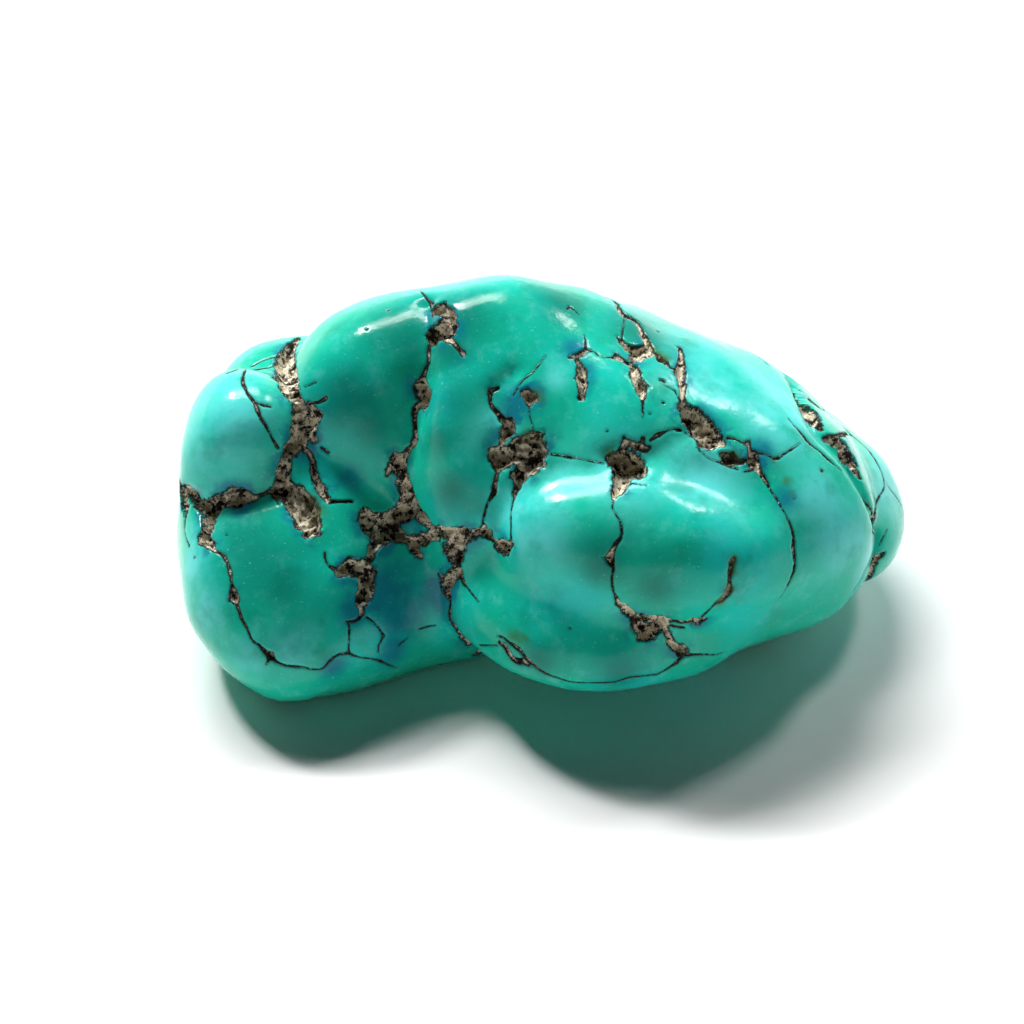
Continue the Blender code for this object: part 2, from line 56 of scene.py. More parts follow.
# ---- Lobes: centre, half-sizes, turn about X, Y and Z in degrees, squareness (2 is round), blend
LOBES = {
    "mesa": ((7.7, 5.8, 11.5), (19.2, 12.1, 12.1), (-10, 10, -6), 2.3, 3.0),
    "top_dome": ((-2.0, 9.3, 15.7), (14.4, 7.7, 10.7), (0, 0, 0), 2.1, 4.0),
    "column": ((-3.3, 3.9, 13.3), (5.5, 7.9, 9.5), (-20, 0, 0), 2.2, 1.5),
    "shoulder": ((-10.2, 8.5, 14.4), (7.6, 6.8, 9.7), (0, 0, 0), 2.3, 1.8),
    "waist": ((-7.2, 3.2, 5.4), (9.4, 7.9, 8.3), (0, 0, 0), 2.2, 1.5),
    "brow": ((10.1, -5.2, 13.0), (10.9, 5.4, 6.8), (0, 9, -4), 2.2, 1.5),
    "head": ((-20.1, 5.8, 13.9), (5.1, 5.6, 6.8), (0, 0, 0), 2.2, 1.5),
    "heel": ((-16.1, 3.5, 8.0), (9.7, 13.9, 8.0), (18, 12, 0), 2.05, 1.6),
    "heel_toe": ((-14.3, 1.2, 4.1), (9.2, 8.7, 6.4), (0, 0, 0), 2.2, 1.5),
    "belly": ((6.8, -2.9, 8.0), (11.6, 9.2, 5.4), (0, 0, 0), 2.2, 2.0),
    "flank": ((17.3, 1.1, 10.8), (10.5, 8.7, 8.5), (0, 0, 10), 2.1, 2.0),
    "nose": ((22.3, 7.7, 9.3), (8.9, 10.0, 5.2), (0, 30, 16), 2.0, 0.5),
    "back_ridge": ((-16.2, 12.2, 10.2), (7.7, 7.0, 8.2), (0, 0, -20), 2.3, 1.4),
    "back_fill": ((-9.0, 12.0, 7.2), (12.0, 8.4, 7.6), (0, 8, 0), 2.3, 3.5),
    "heel_foot": ((-15.0, 3.5, 6.0), (6.5, 7.0, 7.0), (0, 0, 0), 2.0, 2.0),
    "belly_foot": ((8.0, 1.5, 6.0), (9.0, 7.0, 7.0), (0, 0, 0), 2.0, 2.0),
    "back_foot": ((3.0, 13.0, 8.0), (13.0, 9.0, 9.0), (0, 0, 0), 2.2, 2.5),
}

# ---- Strokes: worn ridges (height > 0) and hollows (height < 0): centre, spread, turn, height
STROKES = {
    "brow_groove": ((13.0, -9.6, 9.8), (7.0, 2.5, 1.6), (0, 0, 0), -0.6),
    "column_valley": ((-7.2, 1.0, 17.0), (1.5, 6.0, 6.5), (0, 0, 0), -0.9),
    "plateau_dip": ((3.5, 1.0, 20.5), (2.2, 4.0, 3.0), (0, 0, 0), -0.6),
    "plateau_rise": ((8.3, 1.5, 22.0), (2.2, 2.2, 3.0), (0, 0, 0), 1.1),
    "crown": ((-1.6, 7.0, 26.5), (2.5, 3.0, 2.5), (0, 0, 0), 0.5),
    "heel_dent": ((-19.3, -0.9, 10.0), (4.0, 3.0, 3.0), (0, 0, 0), -0.9),
    "back_hollow": ((-6.0, 20.0, 9.0), (4.0, 4.0, 5.0), (0, 0, 0), -1.2),
    "back_ledge": ((14.0, 19.0, 14.0), (6.0, 3.0, 2.5), (0, 0, 0), 0.8),
}

# ---- Waves: the skin's faint unevenness: height, waves per millimetre along X, Y and Z, and phase
WAVES = (
    (0.10, (0.085, 0.040, 0.030), 0.4),
    (0.09, (-0.045, 0.100, 0.035), 1.9),
    (0.07, (0.030, -0.065, 0.125), 3.1),
    (0.05, (0.140, 0.110, -0.070), 4.6),
    (0.04, (-0.150, 0.090, 0.150), 0.9),
)

# ---- Pits, cracks and hairlines as strokes on sheets: u, v and half-width along each stroke
FRONT_MARKS = {
    "channel": [
        (-15.8, 13.3, 0.15), (-16.5, 12.5, 0.43), (-17.0, 11.6, 0.78), (-16.8, 10.5, 1.03),
        (-16.6, 9.3, 0.78), (-16.1, 8.5, 0.52), (-15.9, 7.8, 0.60), (-15.7, 7.0, 0.78),
        (-15.8, 6.1, 0.86), (-16.1, 5.2, 0.69), (-16.6, 4.6, 0.60), (-16.9, 3.8, 0.52),
        (-17.1, 2.8, 0.69), (-17.4, 1.8, 0.69),
    ],
    "channel_lobe": [(-15.3, 8.0, 0.30), (-14.7, 7.3, 0.43), (-15.0, 6.3, 0.52), (-14.9, 5.4, 0.30)],
    "channel_twig": [(-15.5, 9.4, 0.07), (-14.7, 9.7, 0.07)],
    "channel_thorn": [(-15.3, 8.2, 0.07), (-14.5, 8.2, 0.11), (-14.0, 8.5, 0.19)],
    "channel_strand": [
        (-15.9, 4.9, 0.30), (-15.3, 4.5, 0.22), (-14.9, 3.8, 0.22), (-14.8, 2.9, 0.30),
        (-14.4, 1.9, 0.43), (-13.9, 1.1, 0.30),
    ],
    "left_pit": [
        (-17.2, 1.9, 0.69), (-16.2, 1.1, 1.03), (-15.4, 0.0, 1.12), (-15.0, -1.1, 0.78),
        (-14.5, -1.6, 0.30),
    ],
    "left_twig": [(-13.8, 0.8, 0.22), (-12.9, 0.8, 0.11), (-12.0, 0.8, 0.15)],
    "left_spot": [(-14.3, 4.8, 0.11), (-13.8, 4.5, 0.15)],
    "head_crack": [
        (-19.9, 10.7, 0.07), (-20.2, 9.9, 0.15), (-19.8, 8.9, 0.11), (-19.3, 8.2, 0.15),
        (-19.0, 7.5, 0.15), (-18.8, 7.0, 0.11), (-18.4, 6.4, 0.10), (-18.0, 5.6, 0.09),
        (-17.5, 4.8, 0.11),
    ],
    "head_twig": [(-19.1, 8.2, 0.07), (-18.6, 8.0, 0.11), (-18.1, 7.9, 0.11)],
    "head_line": [(-21.3, 10.4, 0.11), (-20.5, 10.7, 0.11)],
    "head_edge": [(-19.5, 10.9, 0.06), (-18.5, 11.4, 0.07), (-17.8, 11.6, 0.11)],
    "waist_crack": [
        (-24.6, 1.8, 0.30), (-24.1, 1.1, 0.60), (-23.6, 0.5, 0.43), (-23.0, 0.4, 0.60),
        (-22.8, -0.2, 0.69), (-22.9, -1.2, 0.69), (-23.0, -1.9, 0.60), (-22.6, -2.5, 0.43),
        (-22.3, -2.9, 0.15),
    ],
    "waist_branch": [
        (-22.4, 0.5, 0.60), (-21.8, 0.9, 0.52), (-21.0, 1.1, 0.69), (-20.2, 1.1, 0.52),
        (-19.6, 1.1, 0.30), (-19.2, 1.2, 0.15), (-18.7, 1.4, 0.11), (-18.3, 1.6, 0.15),
        (-17.8, 1.5, 0.22),
    ],
    "waist_edge": [(-18.1, 1.3, 0.07), (-17.7, 1.0, 0.07), (-17.5, 0.6, 0.07)],
    "heel_vein": [
        (-22.3, -2.9, 0.15), (-21.8, -3.1, 0.11), (-21.4, -3.6, 0.14), (-21.1, -4.6, 0.14),
        (-21.0, -5.5, 0.15), (-20.8, -6.4, 0.43), (-20.6, -7.0, 0.15), (-20.2, -8.1, 0.10),
        (-19.8, -8.8, 0.10), (-19.5, -9.6, 0.09), (-18.9, -10.0, 0.11), (-18.4, -10.6, 0.19),
        (-18.1, -10.8, 0.30), (-17.7, -11.2, 0.11), (-17.0, -11.5, 0.09), (-15.9, -11.6, 0.09),
        (-14.8, -11.8, 0.07), (-14.1, -11.7, 0.09), (-13.7, -11.2, 0.09), (-13.0, -10.7, 0.09),
        (-12.2, -10.6, 0.11),
    ],
    "heel_twig": [(-18.1, -10.9, 0.11), (-18.4, -11.4, 0.07)],
    "hollow_riser": [
        (-12.2, -10.6, 0.10), (-12.2, -9.6, 0.07), (-12.2, -8.5, 0.09), (-12.4, -8.2, 0.11),
        (-11.8, -8.2, 0.11), (-11.3, -7.8, 0.17), (-11.2, -7.2, 0.22), (-11.4, -6.8, 0.22),
    ],
    "hollow_link": [
        (-10.9, -7.9, 0.09), (-10.4, -8.2, 0.07), (-9.9, -8.8, 0.07), (-9.6, -9.3, 0.11),
        (-10.0, -10.0, 0.07), (-10.0, -10.5, 0.07),
    ],
    "hollow_base": [
        (-12.2, -10.6, 0.10), (-11.4, -10.9, 0.07), (-10.5, -11.0, 0.07), (-9.8, -11.2, 0.10),
        (-9.4, -11.4, 0.07), (-8.6, -11.7, 0.06),
    ],
    "hollow_hair": [(-8.5, -10.0, 0.07), (-8.0, -9.6, 0.09), (-7.8, -9.4, 0.06)],
    "hollow_end": [(-7.0, -8.8, 0.05), (-6.3, -8.6, 0.07), (-5.7, -8.5, 0.06)],
    "hollow_pit": [
        (-12.9, -4.6, 0.30), (-12.2, -4.2, 0.69), (-11.2, -4.3, 0.78), (-10.7, -4.7, 0.60),
        (-10.9, -5.7, 0.78), (-11.2, -6.5, 0.60), (-11.4, -7.0, 0.22),
    ],
    "hollow_spur": [(-10.8, -3.8, 0.30), (-10.3, -3.3, 0.15), (-10.6, -3.1, 0.22)],
    "hollow_tail": [
        (-12.9, -4.6, 0.15), (-13.3, -4.3, 0.15), (-13.8, -4.0, 0.09), (-14.0, -3.4, 0.09),
        (-14.0, -3.0, 0.07),
    ],
    "shoulder_crack": [(-7.0, 16.8, 0.05), (-6.8, 16.5, 0.07), (-6.3, 16.0, 0.10), (-6.1, 15.8, 0.22)],
    "shoulder_pit": [
        (-5.8, 15.4, 0.52), (-5.3, 15.3, 0.60), (-4.7, 14.7, 0.60), (-4.7, 13.8, 0.69),
        (-5.4, 13.7, 1.03), (-6.1, 13.3, 0.69), (-6.1, 12.9, 0.43),
    ],
    "shoulder_tail": [(-4.8, 13.0, 0.43), (-4.5, 12.8, 0.22), (-4.0, 12.2, 0.19), (-3.6, 11.8, 0.26)],
    "shoulder_vein": [
        (-6.4, 12.7, 0.19), (-6.5, 12.0, 0.14), (-6.5, 11.2, 0.14), (-6.7, 10.7, 0.15),
        (-6.9, 10.0, 0.22), (-7.0, 9.3, 0.52), (-6.8, 8.7, 0.69), (-6.9, 8.2, 0.52), (-7.4, 7.9, 0.22),
        (-7.6, 7.3, 0.15), (-7.6, 6.6, 0.15), (-7.6, 5.9, 0.19), (-7.6, 5.3, 0.30), (-7.9, 4.8, 0.19),
        (-8.2, 4.3, 0.22),
    ],
    "waist_matrix": [
        (-8.3, 4.1, 0.30), (-8.7, 3.8, 0.52), (-8.4, 3.1, 0.60), (-8.2, 2.2, 0.69), (-7.9, 1.3, 0.86),
        (-7.6, 0.4, 1.03), (-7.0, -0.2, 0.69), (-6.4, -0.9, 0.60), (-5.8, -1.6, 0.60),
    ],
    "waist_loop": [
        (-5.8, -1.6, 0.52), (-6.3, -1.9, 0.52), (-7.0, -2.2, 0.52), (-7.8, -2.2, 0.43),
        (-8.4, -1.9, 0.52), (-9.0, -1.5, 0.86), (-9.9, -1.2, 1.21), (-10.7, -0.6, 0.86),
        (-10.9, 0.0, 0.43),
    ],
    "waist_drop": [(-9.9, -1.7, 0.78), (-10.3, -2.5, 0.52), (-10.5, -3.0, 0.30), (-10.8, -3.6, 0.22)],
    "waist_spur": [(-8.0, -2.2, 0.30), (-7.3, -2.6, 0.52), (-6.9, -3.3, 0.22)],
    "waist_thorn": [(-8.7, 3.3, 0.30), (-9.3, 3.1, 0.30), (-9.4, 2.7, 0.15)],
    "waist_bridge": [(-7.6, 0.4, 0.86), (-8.5, -0.2, 0.78), (-9.4, -0.8, 0.78)],
    "right_arm": [
        (-5.6, -1.3, 0.30), (-5.0, -1.6, 0.60), (-4.3, -2.1, 0.95), (-4.4, -2.9, 0.95),
        (-4.3, -3.6, 0.52), (-4.0, -4.0, 0.26), (-3.8, -4.9, 0.22), (-3.6, -5.4, 0.15),
    ],
    "right_reach": [
        (-3.8, -1.7, 0.69), (-3.0, -1.7, 0.43), (-2.4, -1.5, 0.43), (-1.9, -1.7, 0.43),
        (-1.4, -2.1, 0.22), (-1.1, -2.5, 0.43), (-0.5, -2.6, 0.60), (-0.1, -2.4, 0.30),
        (-0.4, -3.1, 0.22),
    ],
    "right_thorn": [(-2.2, -1.5, 0.22), (-2.1, -1.1, 0.22)],
    "lower_waist": [
        (-4.0, -4.0, 0.26), (-4.3, -4.7, 0.43), (-4.8, -5.1, 0.60), (-5.0, -5.7, 0.52),
        (-4.7, -6.4, 0.30), (-4.6, -6.8, 0.15), (-4.7, -7.3, 0.15), (-4.7, -7.9, 0.22),
        (-4.4, -8.4, 0.30), (-4.0, -9.0, 0.30), (-3.6, -9.4, 0.43), (-3.1, -9.9, 0.30),
        (-2.6, -10.2, 0.22), (-2.4, -10.6, 0.22),
    ],
    "lower_hair": [(-3.5, -5.5, 0.07), (-3.0, -6.1, 0.07), (-2.5, -6.7, 0.06)],
    "lower_spur": [(-5.5, -4.7, 0.15), (-5.2, -5.1, 0.22)],
    "centre_crack": [
        (-1.1, 9.4, 0.15), (-1.6, 9.2, 0.30), (-1.7, 8.6, 0.15), (-1.5, 7.9, 0.15), (-1.1, 7.5, 0.19),
        (-0.8, 7.0, 0.30), (-0.4, 6.8, 0.43), (-0.4, 6.1, 0.60), (-0.7, 5.6, 0.43), (-0.8, 5.0, 0.22),
        (-1.3, 4.6, 0.43),
    ],
    "centre_pit": [
        (-1.3, 4.2, 0.60), (-0.8, 4.0, 0.78), (0.0, 4.3, 0.95), (0.9, 4.6, 1.12), (1.6, 5.0, 0.95),
    ],
    "centre_wall": [
        (1.9, 4.4, 0.78), (1.5, 3.7, 0.78), (0.8, 3.1, 0.78), (0.4, 2.5, 0.52), (0.4, 1.9, 0.30),
        (0.2, 1.4, 0.30), (0.1, 1.0, 0.11), (0.0, 0.5, 0.07), (-0.1, -0.2, 0.07), (-0.1, -1.3, 0.11),
        (-0.1, -2.1, 0.15),
    ],
    "centre_tail": [
        (-1.1, 3.4, 0.43), (-1.1, 2.9, 0.15), (-1.3, 2.2, 0.22), (-1.3, 1.6, 0.26), (-1.7, 0.9, 0.10),
        (-2.0, 0.1, 0.09), (-2.2, -0.8, 0.11),
    ],
    "arc_hair": [
        (2.5, 11.7, 0.06), (1.6, 10.5, 0.07), (1.2, 10.2, 0.07), (0.7, 9.8, 0.07), (0.4, 9.3, 0.07),
        (0.1, 8.8, 0.06),
    ],
    "brown_spot": [(1.1, 8.9, 0.43), (1.5, 8.6, 0.52), (1.3, 8.1, 0.22)],
    "centre_hair": [(1.3, 8.0, 0.05), (1.3, 7.3, 0.05), (1.6, 6.3, 0.05), (1.6, 5.7, 0.06)],
    "thin_vein": [
        (2.5, 4.5, 0.07), (3.0, 4.3, 0.07), (3.8, 4.2, 0.07), (4.2, 4.1, 0.10), (5.0, 4.0, 0.06),
        (6.0, 3.8, 0.06), (6.8, 3.7, 0.07),
    ],
    "second_pit": [
        (7.2, 4.1, 0.30), (7.7, 3.9, 0.69), (8.4, 3.8, 0.95), (9.2, 3.4, 0.95), (9.6, 3.1, 0.60),
    ],
    "second_drop": [(8.2, 2.9, 0.86), (8.1, 2.2, 0.60), (7.8, 1.6, 0.43), (7.6, 1.1, 0.22)],
    "second_brow": [
        (8.2, 4.5, 0.43), (8.6, 5.2, 0.22), (9.3, 5.0, 0.30), (10.0, 4.8, 0.30), (10.3, 4.9, 0.22),
    ],
    "second_horn": [(8.5, 5.2, 0.15), (8.4, 5.6, 0.11)],
    "second_horn_b": [(9.8, 5.0, 0.22), (9.8, 5.5, 0.22)],
    "second_twig": [(8.5, 1.9, 0.07), (9.0, 2.2, 0.07), (9.4, 2.1, 0.07), (10.1, 2.0, 0.06)],
    "belly_vein": [
        (7.6, 0.9, 0.06), (7.5, 0.3, 0.06), (7.8, -0.2, 0.07), (8.1, -0.7, 0.07), (8.2, -1.3, 0.10),
        (8.2, -1.9, 0.11), (7.9, -2.2, 0.15), (7.6, -2.8, 0.22), (7.3, -3.4, 0.30), (7.4, -3.8, 0.26),
        (7.6, -4.2, 0.11), (7.5, -4.8, 0.11), (7.5, -5.5, 0.09), (7.6, -6.0, 0.09), (7.8, -6.5, 0.14),
        (8.0, -6.9, 0.22), (8.4, -7.1, 0.30), (8.7, -7.5, 0.43), (9.2, -7.9, 0.52), (9.6, -8.0, 0.52),
        (10.2, -8.1, 0.43), (10.7, -8.2, 0.52), (11.2, -8.2, 0.52),
    ],
    "belly_pit": [
        (9.3, -8.2, 0.43), (9.6, -8.7, 0.60), (10.0, -8.9, 0.69), (10.5, -8.9, 0.60), (11.1, -8.7, 0.69),
        (11.5, -8.6, 0.43),
    ],
    "belly_toe": [(10.2, -9.2, 0.52), (9.8, -9.4, 0.43), (9.5, -9.6, 0.15)],
    "belly_reach": [
        (11.4, -8.2, 0.43), (12.2, -8.2, 0.22), (12.9, -8.3, 0.22), (13.5, -8.1, 0.30),
        (13.9, -8.2, 0.52), (14.3, -8.1, 0.30),
    ],
    "belly_under": [(11.7, -8.5, 0.22), (12.3, -8.6, 0.15), (12.9, -8.7, 0.11)],
    "belly_rise": [
        (14.2, -7.9, 0.11), (14.8, -7.3, 0.07), (15.2, -6.9, 0.10), (15.7, -6.6, 0.22),
        (16.1, -6.2, 0.30), (16.3, -5.7, 0.26), (16.3, -5.0, 0.15), (16.4, -4.4, 0.22),
        (16.5, -3.8, 0.30), (16.6, -3.5, 0.19),
    ],
    "belly_down": [
        (11.4, -8.8, 0.43), (11.8, -9.4, 0.22), (11.9, -9.8, 0.30), (12.3, -10.1, 0.43),
        (12.8, -10.4, 0.52), (12.9, -10.7, 0.22),
    ],
    "belly_foot": [
        (12.9, -10.7, 0.19), (13.5, -10.7, 0.10), (14.1, -10.7, 0.08), (14.7, -10.7, 0.08),
        (15.3, -10.7, 0.07), (15.8, -10.5, 0.05),
    ],
    "belly_back": [
        (12.7, -10.9, 0.15), (12.3, -11.3, 0.15), (11.9, -11.6, 0.12), (11.4, -11.9, 0.09),
        (10.8, -12.2, 0.09),
    ],
    "third_hair": [
        (10.4, 5.4, 0.11), (10.8, 5.7, 0.15), (11.2, 5.9, 0.15), (11.6, 6.1, 0.07), (12.2, 6.3, 0.07),
        (12.7, 6.2, 0.15),
    ],
    "third_edge": [
        (13.0, 6.1, 0.07), (13.5, 5.8, 0.07), (13.9, 5.5, 0.07), (14.0, 4.9, 0.07), (14.1, 4.6, 0.07),
    ],
    "third_pit": [
        (13.0, 7.8, 0.52), (13.5, 7.3, 0.86), (13.9, 6.8, 0.95), (14.4, 6.3, 0.95), (15.0, 5.8, 0.86),
        (15.4, 5.4, 0.69), (15.0, 5.1, 0.52), (14.3, 5.2, 0.43),
    ],
    "third_green": [(15.8, 4.3, 0.30), (16.4, 4.0, 0.52), (16.9, 3.7, 0.30), (17.5, 3.9, 0.22)],
    "third_hem": [
        (14.1, 4.6, 0.06), (14.8, 4.0, 0.04), (15.6, 3.7, 0.06), (16.3, 3.4, 0.07), (16.9, 3.2, 0.10),
    ],
    "third_twig": [
        (16.1, 5.6, 0.15), (16.6, 5.5, 0.09), (17.1, 5.3, 0.07), (17.5, 5.1, 0.11), (17.7, 5.2, 0.15),
        (17.8, 4.7, 0.15), (17.9, 4.2, 0.30), (18.1, 3.8, 0.52), (18.4, 3.3, 0.30), (18.6, 2.9, 0.22),
        (19.1, 2.2, 0.15),
    ],
    "third_bar": [(17.7, 5.2, 0.07), (17.8, 5.4, 0.07)],
    "third_thorn": [(17.4, 3.0, 0.06), (17.8, 3.1, 0.06), (18.1, 3.2, 0.09)],
    "top_hair": [(4.1, 15.2, 0.06), (4.3, 15.4, 0.09), (4.7, 15.1, 0.06), (5.0, 14.8, 0.05)],
    "top_drop": [(5.4, 13.3, 0.05), (5.5, 12.8, 0.07), (5.5, 12.2, 0.11)],
    "top_weave": [
        (4.3, 11.6, 0.15), (4.7, 11.7, 0.15), (5.2, 11.9, 0.30), (5.5, 12.1, 0.22), (5.8, 12.1, 0.11),
        (6.2, 12.0, 0.07), (6.5, 11.7, 0.07), (6.8, 11.6, 0.10), (7.3, 11.6, 0.07), (7.6, 11.5, 0.15),
        (7.9, 11.7, 0.30),
    ],
    "top_strand": [
        (4.9, 11.4, 0.15), (5.1, 10.9, 0.30), (5.2, 10.3, 0.43), (5.2, 9.7, 0.43), (5.3, 9.2, 0.30),
        (5.2, 8.6, 0.30),
    ],
    "net_top": [
        (7.0, 16.1, 0.07), (7.5, 15.9, 0.11), (7.9, 15.6, 0.19), (8.1, 15.1, 0.22), (8.4, 14.7, 0.30),
        (8.8, 14.6, 0.30), (9.3, 14.3, 0.22), (9.6, 13.9, 0.19), (9.8, 13.4, 0.22), (10.0, 13.0, 0.30),
        (10.2, 12.6, 0.30), (10.2, 12.2, 0.43),
    ],
    "net_loop": [
        (8.4, 14.5, 0.07), (8.3, 13.7, 0.07), (8.2, 13.0, 0.10), (8.3, 12.7, 0.30), (8.7, 12.3, 0.43),
        (9.2, 12.1, 0.52), (9.8, 12.2, 0.43), (10.2, 12.4, 0.30),
    ],
    "net_twig": [(7.8, 13.3, 0.07), (7.9, 13.0, 0.07), (8.2, 12.8, 0.11)],
    "net_low": [
        (8.0, 11.6, 0.30), (8.4, 11.3, 0.30), (8.8, 11.1, 0.30), (9.1, 10.9, 0.43), (9.3, 10.5, 0.43),
        (9.4, 9.9, 0.52), (9.7, 9.4, 0.52), (9.8, 8.9, 0.43), (9.8, 8.4, 0.15), (9.8, 7.8, 0.09),
        (9.8, 7.1, 0.06),
    ],
    "net_right": [
        (9.1, 11.5, 0.43), (9.6, 11.7, 0.43), (10.2, 11.9, 0.30), (10.6, 11.9, 0.22), (10.9, 11.8, 0.22),
        (11.2, 11.4, 0.30), (11.5, 11.2, 0.22), (11.8, 10.9, 0.11), (12.2, 10.7, 0.15),
        (12.5, 10.6, 0.30),
    ],
    "net_strand": [
        (12.3, 12.4, 0.07), (12.6, 12.3, 0.22), (12.7, 11.7, 0.26), (12.7, 11.1, 0.30),
        (12.6, 10.5, 0.43), (12.7, 9.8, 0.43), (12.8, 9.2, 0.30), (12.8, 8.5, 0.22), (12.9, 8.1, 0.22),
    ],
    "net_hair": [
        (11.4, 9.5, 0.06), (11.8, 9.3, 0.06), (12.2, 9.1, 0.07), (12.4, 8.7, 0.07), (12.6, 8.3, 0.07),
    ],
    "net_spot": [(11.2, 9.9, 0.19), (11.4, 9.8, 0.15)],
    "edge_hair": [(7.0, 16.1, 0.06), (8.5, 15.7, 0.06), (9.6, 15.4, 0.05)],
    "edge_hair_b": [(12.0, 14.7, 0.04), (13.3, 14.2, 0.04), (14.5, 13.8, 0.04), (15.4, 13.4, 0.04)],
    "edge_hair_c": [(18.1, 11.9, 0.04), (18.6, 11.5, 0.06), (19.1, 11.1, 0.10), (19.5, 10.8, 0.05)],
    "bottom_vein": [(-2.4, -10.0, 0.09), (-1.6, -10.0, 0.07), (-1.1, -10.0, 0.07)],
    "bottom_link": [(-2.9, -10.7, 0.15), (-2.2, -10.8, 0.11), (-1.6, -11.1, 0.11), (-1.3, -11.3, 0.07)],
    "bottom_pit": [
        (-0.9, -9.8, 0.22), (-0.6, -10.0, 0.30), (-0.3, -10.4, 0.22), (-0.1, -10.9, 0.22),
        (0.4, -11.2, 0.30), (0.8, -11.2, 0.30), (1.2, -11.5, 0.15),
    ],
    "bottom_long": [
        (-1.1, -9.3, 0.07), (-0.7, -9.4, 0.09), (-0.2, -9.8, 0.11), (0.1, -10.0, 0.15),
        (0.5, -10.3, 0.15), (1.0, -10.9, 0.11), (1.3, -11.2, 0.15), (1.9, -11.7, 0.11),
        (2.5, -12.1, 0.11), (3.3, -12.4, 0.09), (4.2, -12.7, 0.07), (4.9, -12.8, 0.07),
        (5.8, -12.8, 0.07), (6.9, -12.8, 0.07), (7.9, -12.7, 0.07), (8.8, -12.4, 0.07),
        (9.8, -12.3, 0.07), (10.5, -12.2, 0.07), (10.8, -12.2, 0.07),
    ],
    "right_hair": [
        (18.1, 4.5, 0.15), (18.6, 4.4, 0.10), (19.1, 4.3, 0.07), (19.6, 4.0, 0.09), (19.9, 4.0, 0.10),
        (20.3, 4.3, 0.07), (20.8, 4.6, 0.07), (21.2, 4.9, 0.06), (21.6, 5.2, 0.04),
    ],
    "right_vein": [
        (19.1, 2.2, 0.15), (19.3, 1.7, 0.07), (19.7, 1.2, 0.07), (20.1, 0.5, 0.07), (20.6, -0.4, 0.08),
        (20.9, -1.1, 0.10), (21.1, -1.9, 0.12), (21.1, -2.9, 0.14), (21.2, -3.8, 0.12),
        (21.1, -4.5, 0.10), (20.8, -5.2, 0.09), (20.5, -5.8, 0.07), (20.1, -6.4, 0.05),
    ],
    "crease_line": [
        (20.7, 7.0, 0.06), (21.1, 6.5, 0.07), (21.5, 6.1, 0.09), (21.9, 5.6, 0.14), (22.3, 5.1, 0.09),
        (23.0, 4.6, 0.07), (23.6, 4.0, 0.12), (24.1, 3.6, 0.07), (24.7, 3.1, 0.05),
    ],
    "nose_line": [
        (25.4, 2.5, 0.07), (25.9, 1.9, 0.14), (26.2, 1.4, 0.10), (26.7, 0.9, 0.07), (27.1, 0.1, 0.07),
        (27.2, -0.8, 0.07), (27.3, -1.6, 0.07), (27.2, -2.6, 0.07),
    ],
    "crease_pit": [
        (21.2, 9.3, 0.22), (21.5, 8.6, 0.30), (21.9, 8.1, 0.60), (22.4, 7.6, 0.78), (22.8, 6.9, 0.52),
        (23.2, 6.3, 0.22),
    ],
    "crease_top": [(22.4, 8.3, 0.43), (22.9, 7.9, 0.30)],
    "crease_pit_b": [
        (23.6, 5.7, 0.22), (24.1, 5.4, 0.43), (24.8, 5.0, 0.60), (25.2, 4.3, 0.69), (25.6, 3.7, 0.60),
        (25.9, 3.0, 0.30), (26.2, 2.5, 0.15),
    ],
    "crease_horn": [(23.7, 5.8, 0.15), (24.3, 5.7, 0.15), (24.8, 5.8, 0.22), (25.1, 5.9, 0.15)],
    "nose_hair": [(28.0, 2.3, 0.04), (28.3, 1.7, 0.06), (28.8, 1.1, 0.06), (29.2, 0.4, 0.05)],
    "nose_hair_b": [(28.1, -1.3, 0.04), (27.8, -1.9, 0.06), (27.6, -2.5, 0.04)],
    "toe_pit": [
        (27.9, -3.1, 0.15), (27.4, -3.4, 0.30), (27.1, -4.0, 0.43), (26.8, -4.8, 0.30),
        (26.4, -5.5, 0.22),
    ],
}

BACK_MARKS = {
    "back_pit": [(2.0, -3.5, 0.3), (4.0, -4.2, 0.8), (6.0, -5.4, 1.1), (7.6, -6.8, 0.8), (8.2, -8.6, 0.4)],
    "back_spur": [(6.0, -5.4, 0.7), (8.0, -4.6, 0.5), (9.8, -4.6, 0.3)],
    "back_crack": [(8.2, -8.6, 0.3), (9.6, -10.0, 0.3), (10.2, -12.0, 0.5), (12.0, -13.4, 0.5)],
    "hollow_pocket": [(-12.6, -6.4, 0.4), (-11.0, -7.0, 0.9), (-9.6, -8.4, 1.1), (-9.0, -10.2, 0.7)],
    "hollow_arm": [(-9.6, -8.4, 0.5), (-7.6, -8.0, 0.4), (-5.4, -8.8, 0.5), (-3.8, -10.4, 0.4)],
    "ledge_pit": [(-20.4, -6.4, 0.3), (-18.8, -7.4, 0.7), (-17.4, -7.8, 0.8), (-16.2, -8.8, 0.4)],
    "crown_pit": [(-3.4, 0.8, 0.4), (-2.0, -0.2, 0.7), (-0.4, -0.6, 0.6), (0.8, -1.6, 0.4)],
    "ridge_pit": [(16.6, -4.0, 0.4), (17.4, -5.2, 0.8), (18.0, -6.8, 0.9), (17.2, -8.2, 0.5)],
    "ridge_arm": [(18.0, -6.8, 0.5), (20.0, -7.6, 0.4), (21.6, -9.2, 0.4)],
}

LEFT_MARKS = {
    "cheek_pit": [(-12.6, -1.8, 0.4), (-11.2, -2.6, 0.8), (-9.8, -3.8, 0.9), (-9.2, -5.4, 0.5)],
    "cheek_arm": [(-11.2, -2.6, 0.5), (-12.4, -4.4, 0.4), (-14.4, -5.4, 0.5), (-15.8, -7.0, 0.4)],
    "heel_pit": [(-4.4, -7.4, 0.3), (-3.2, -8.4, 0.7), (-2.0, -8.8, 0.5)],
}

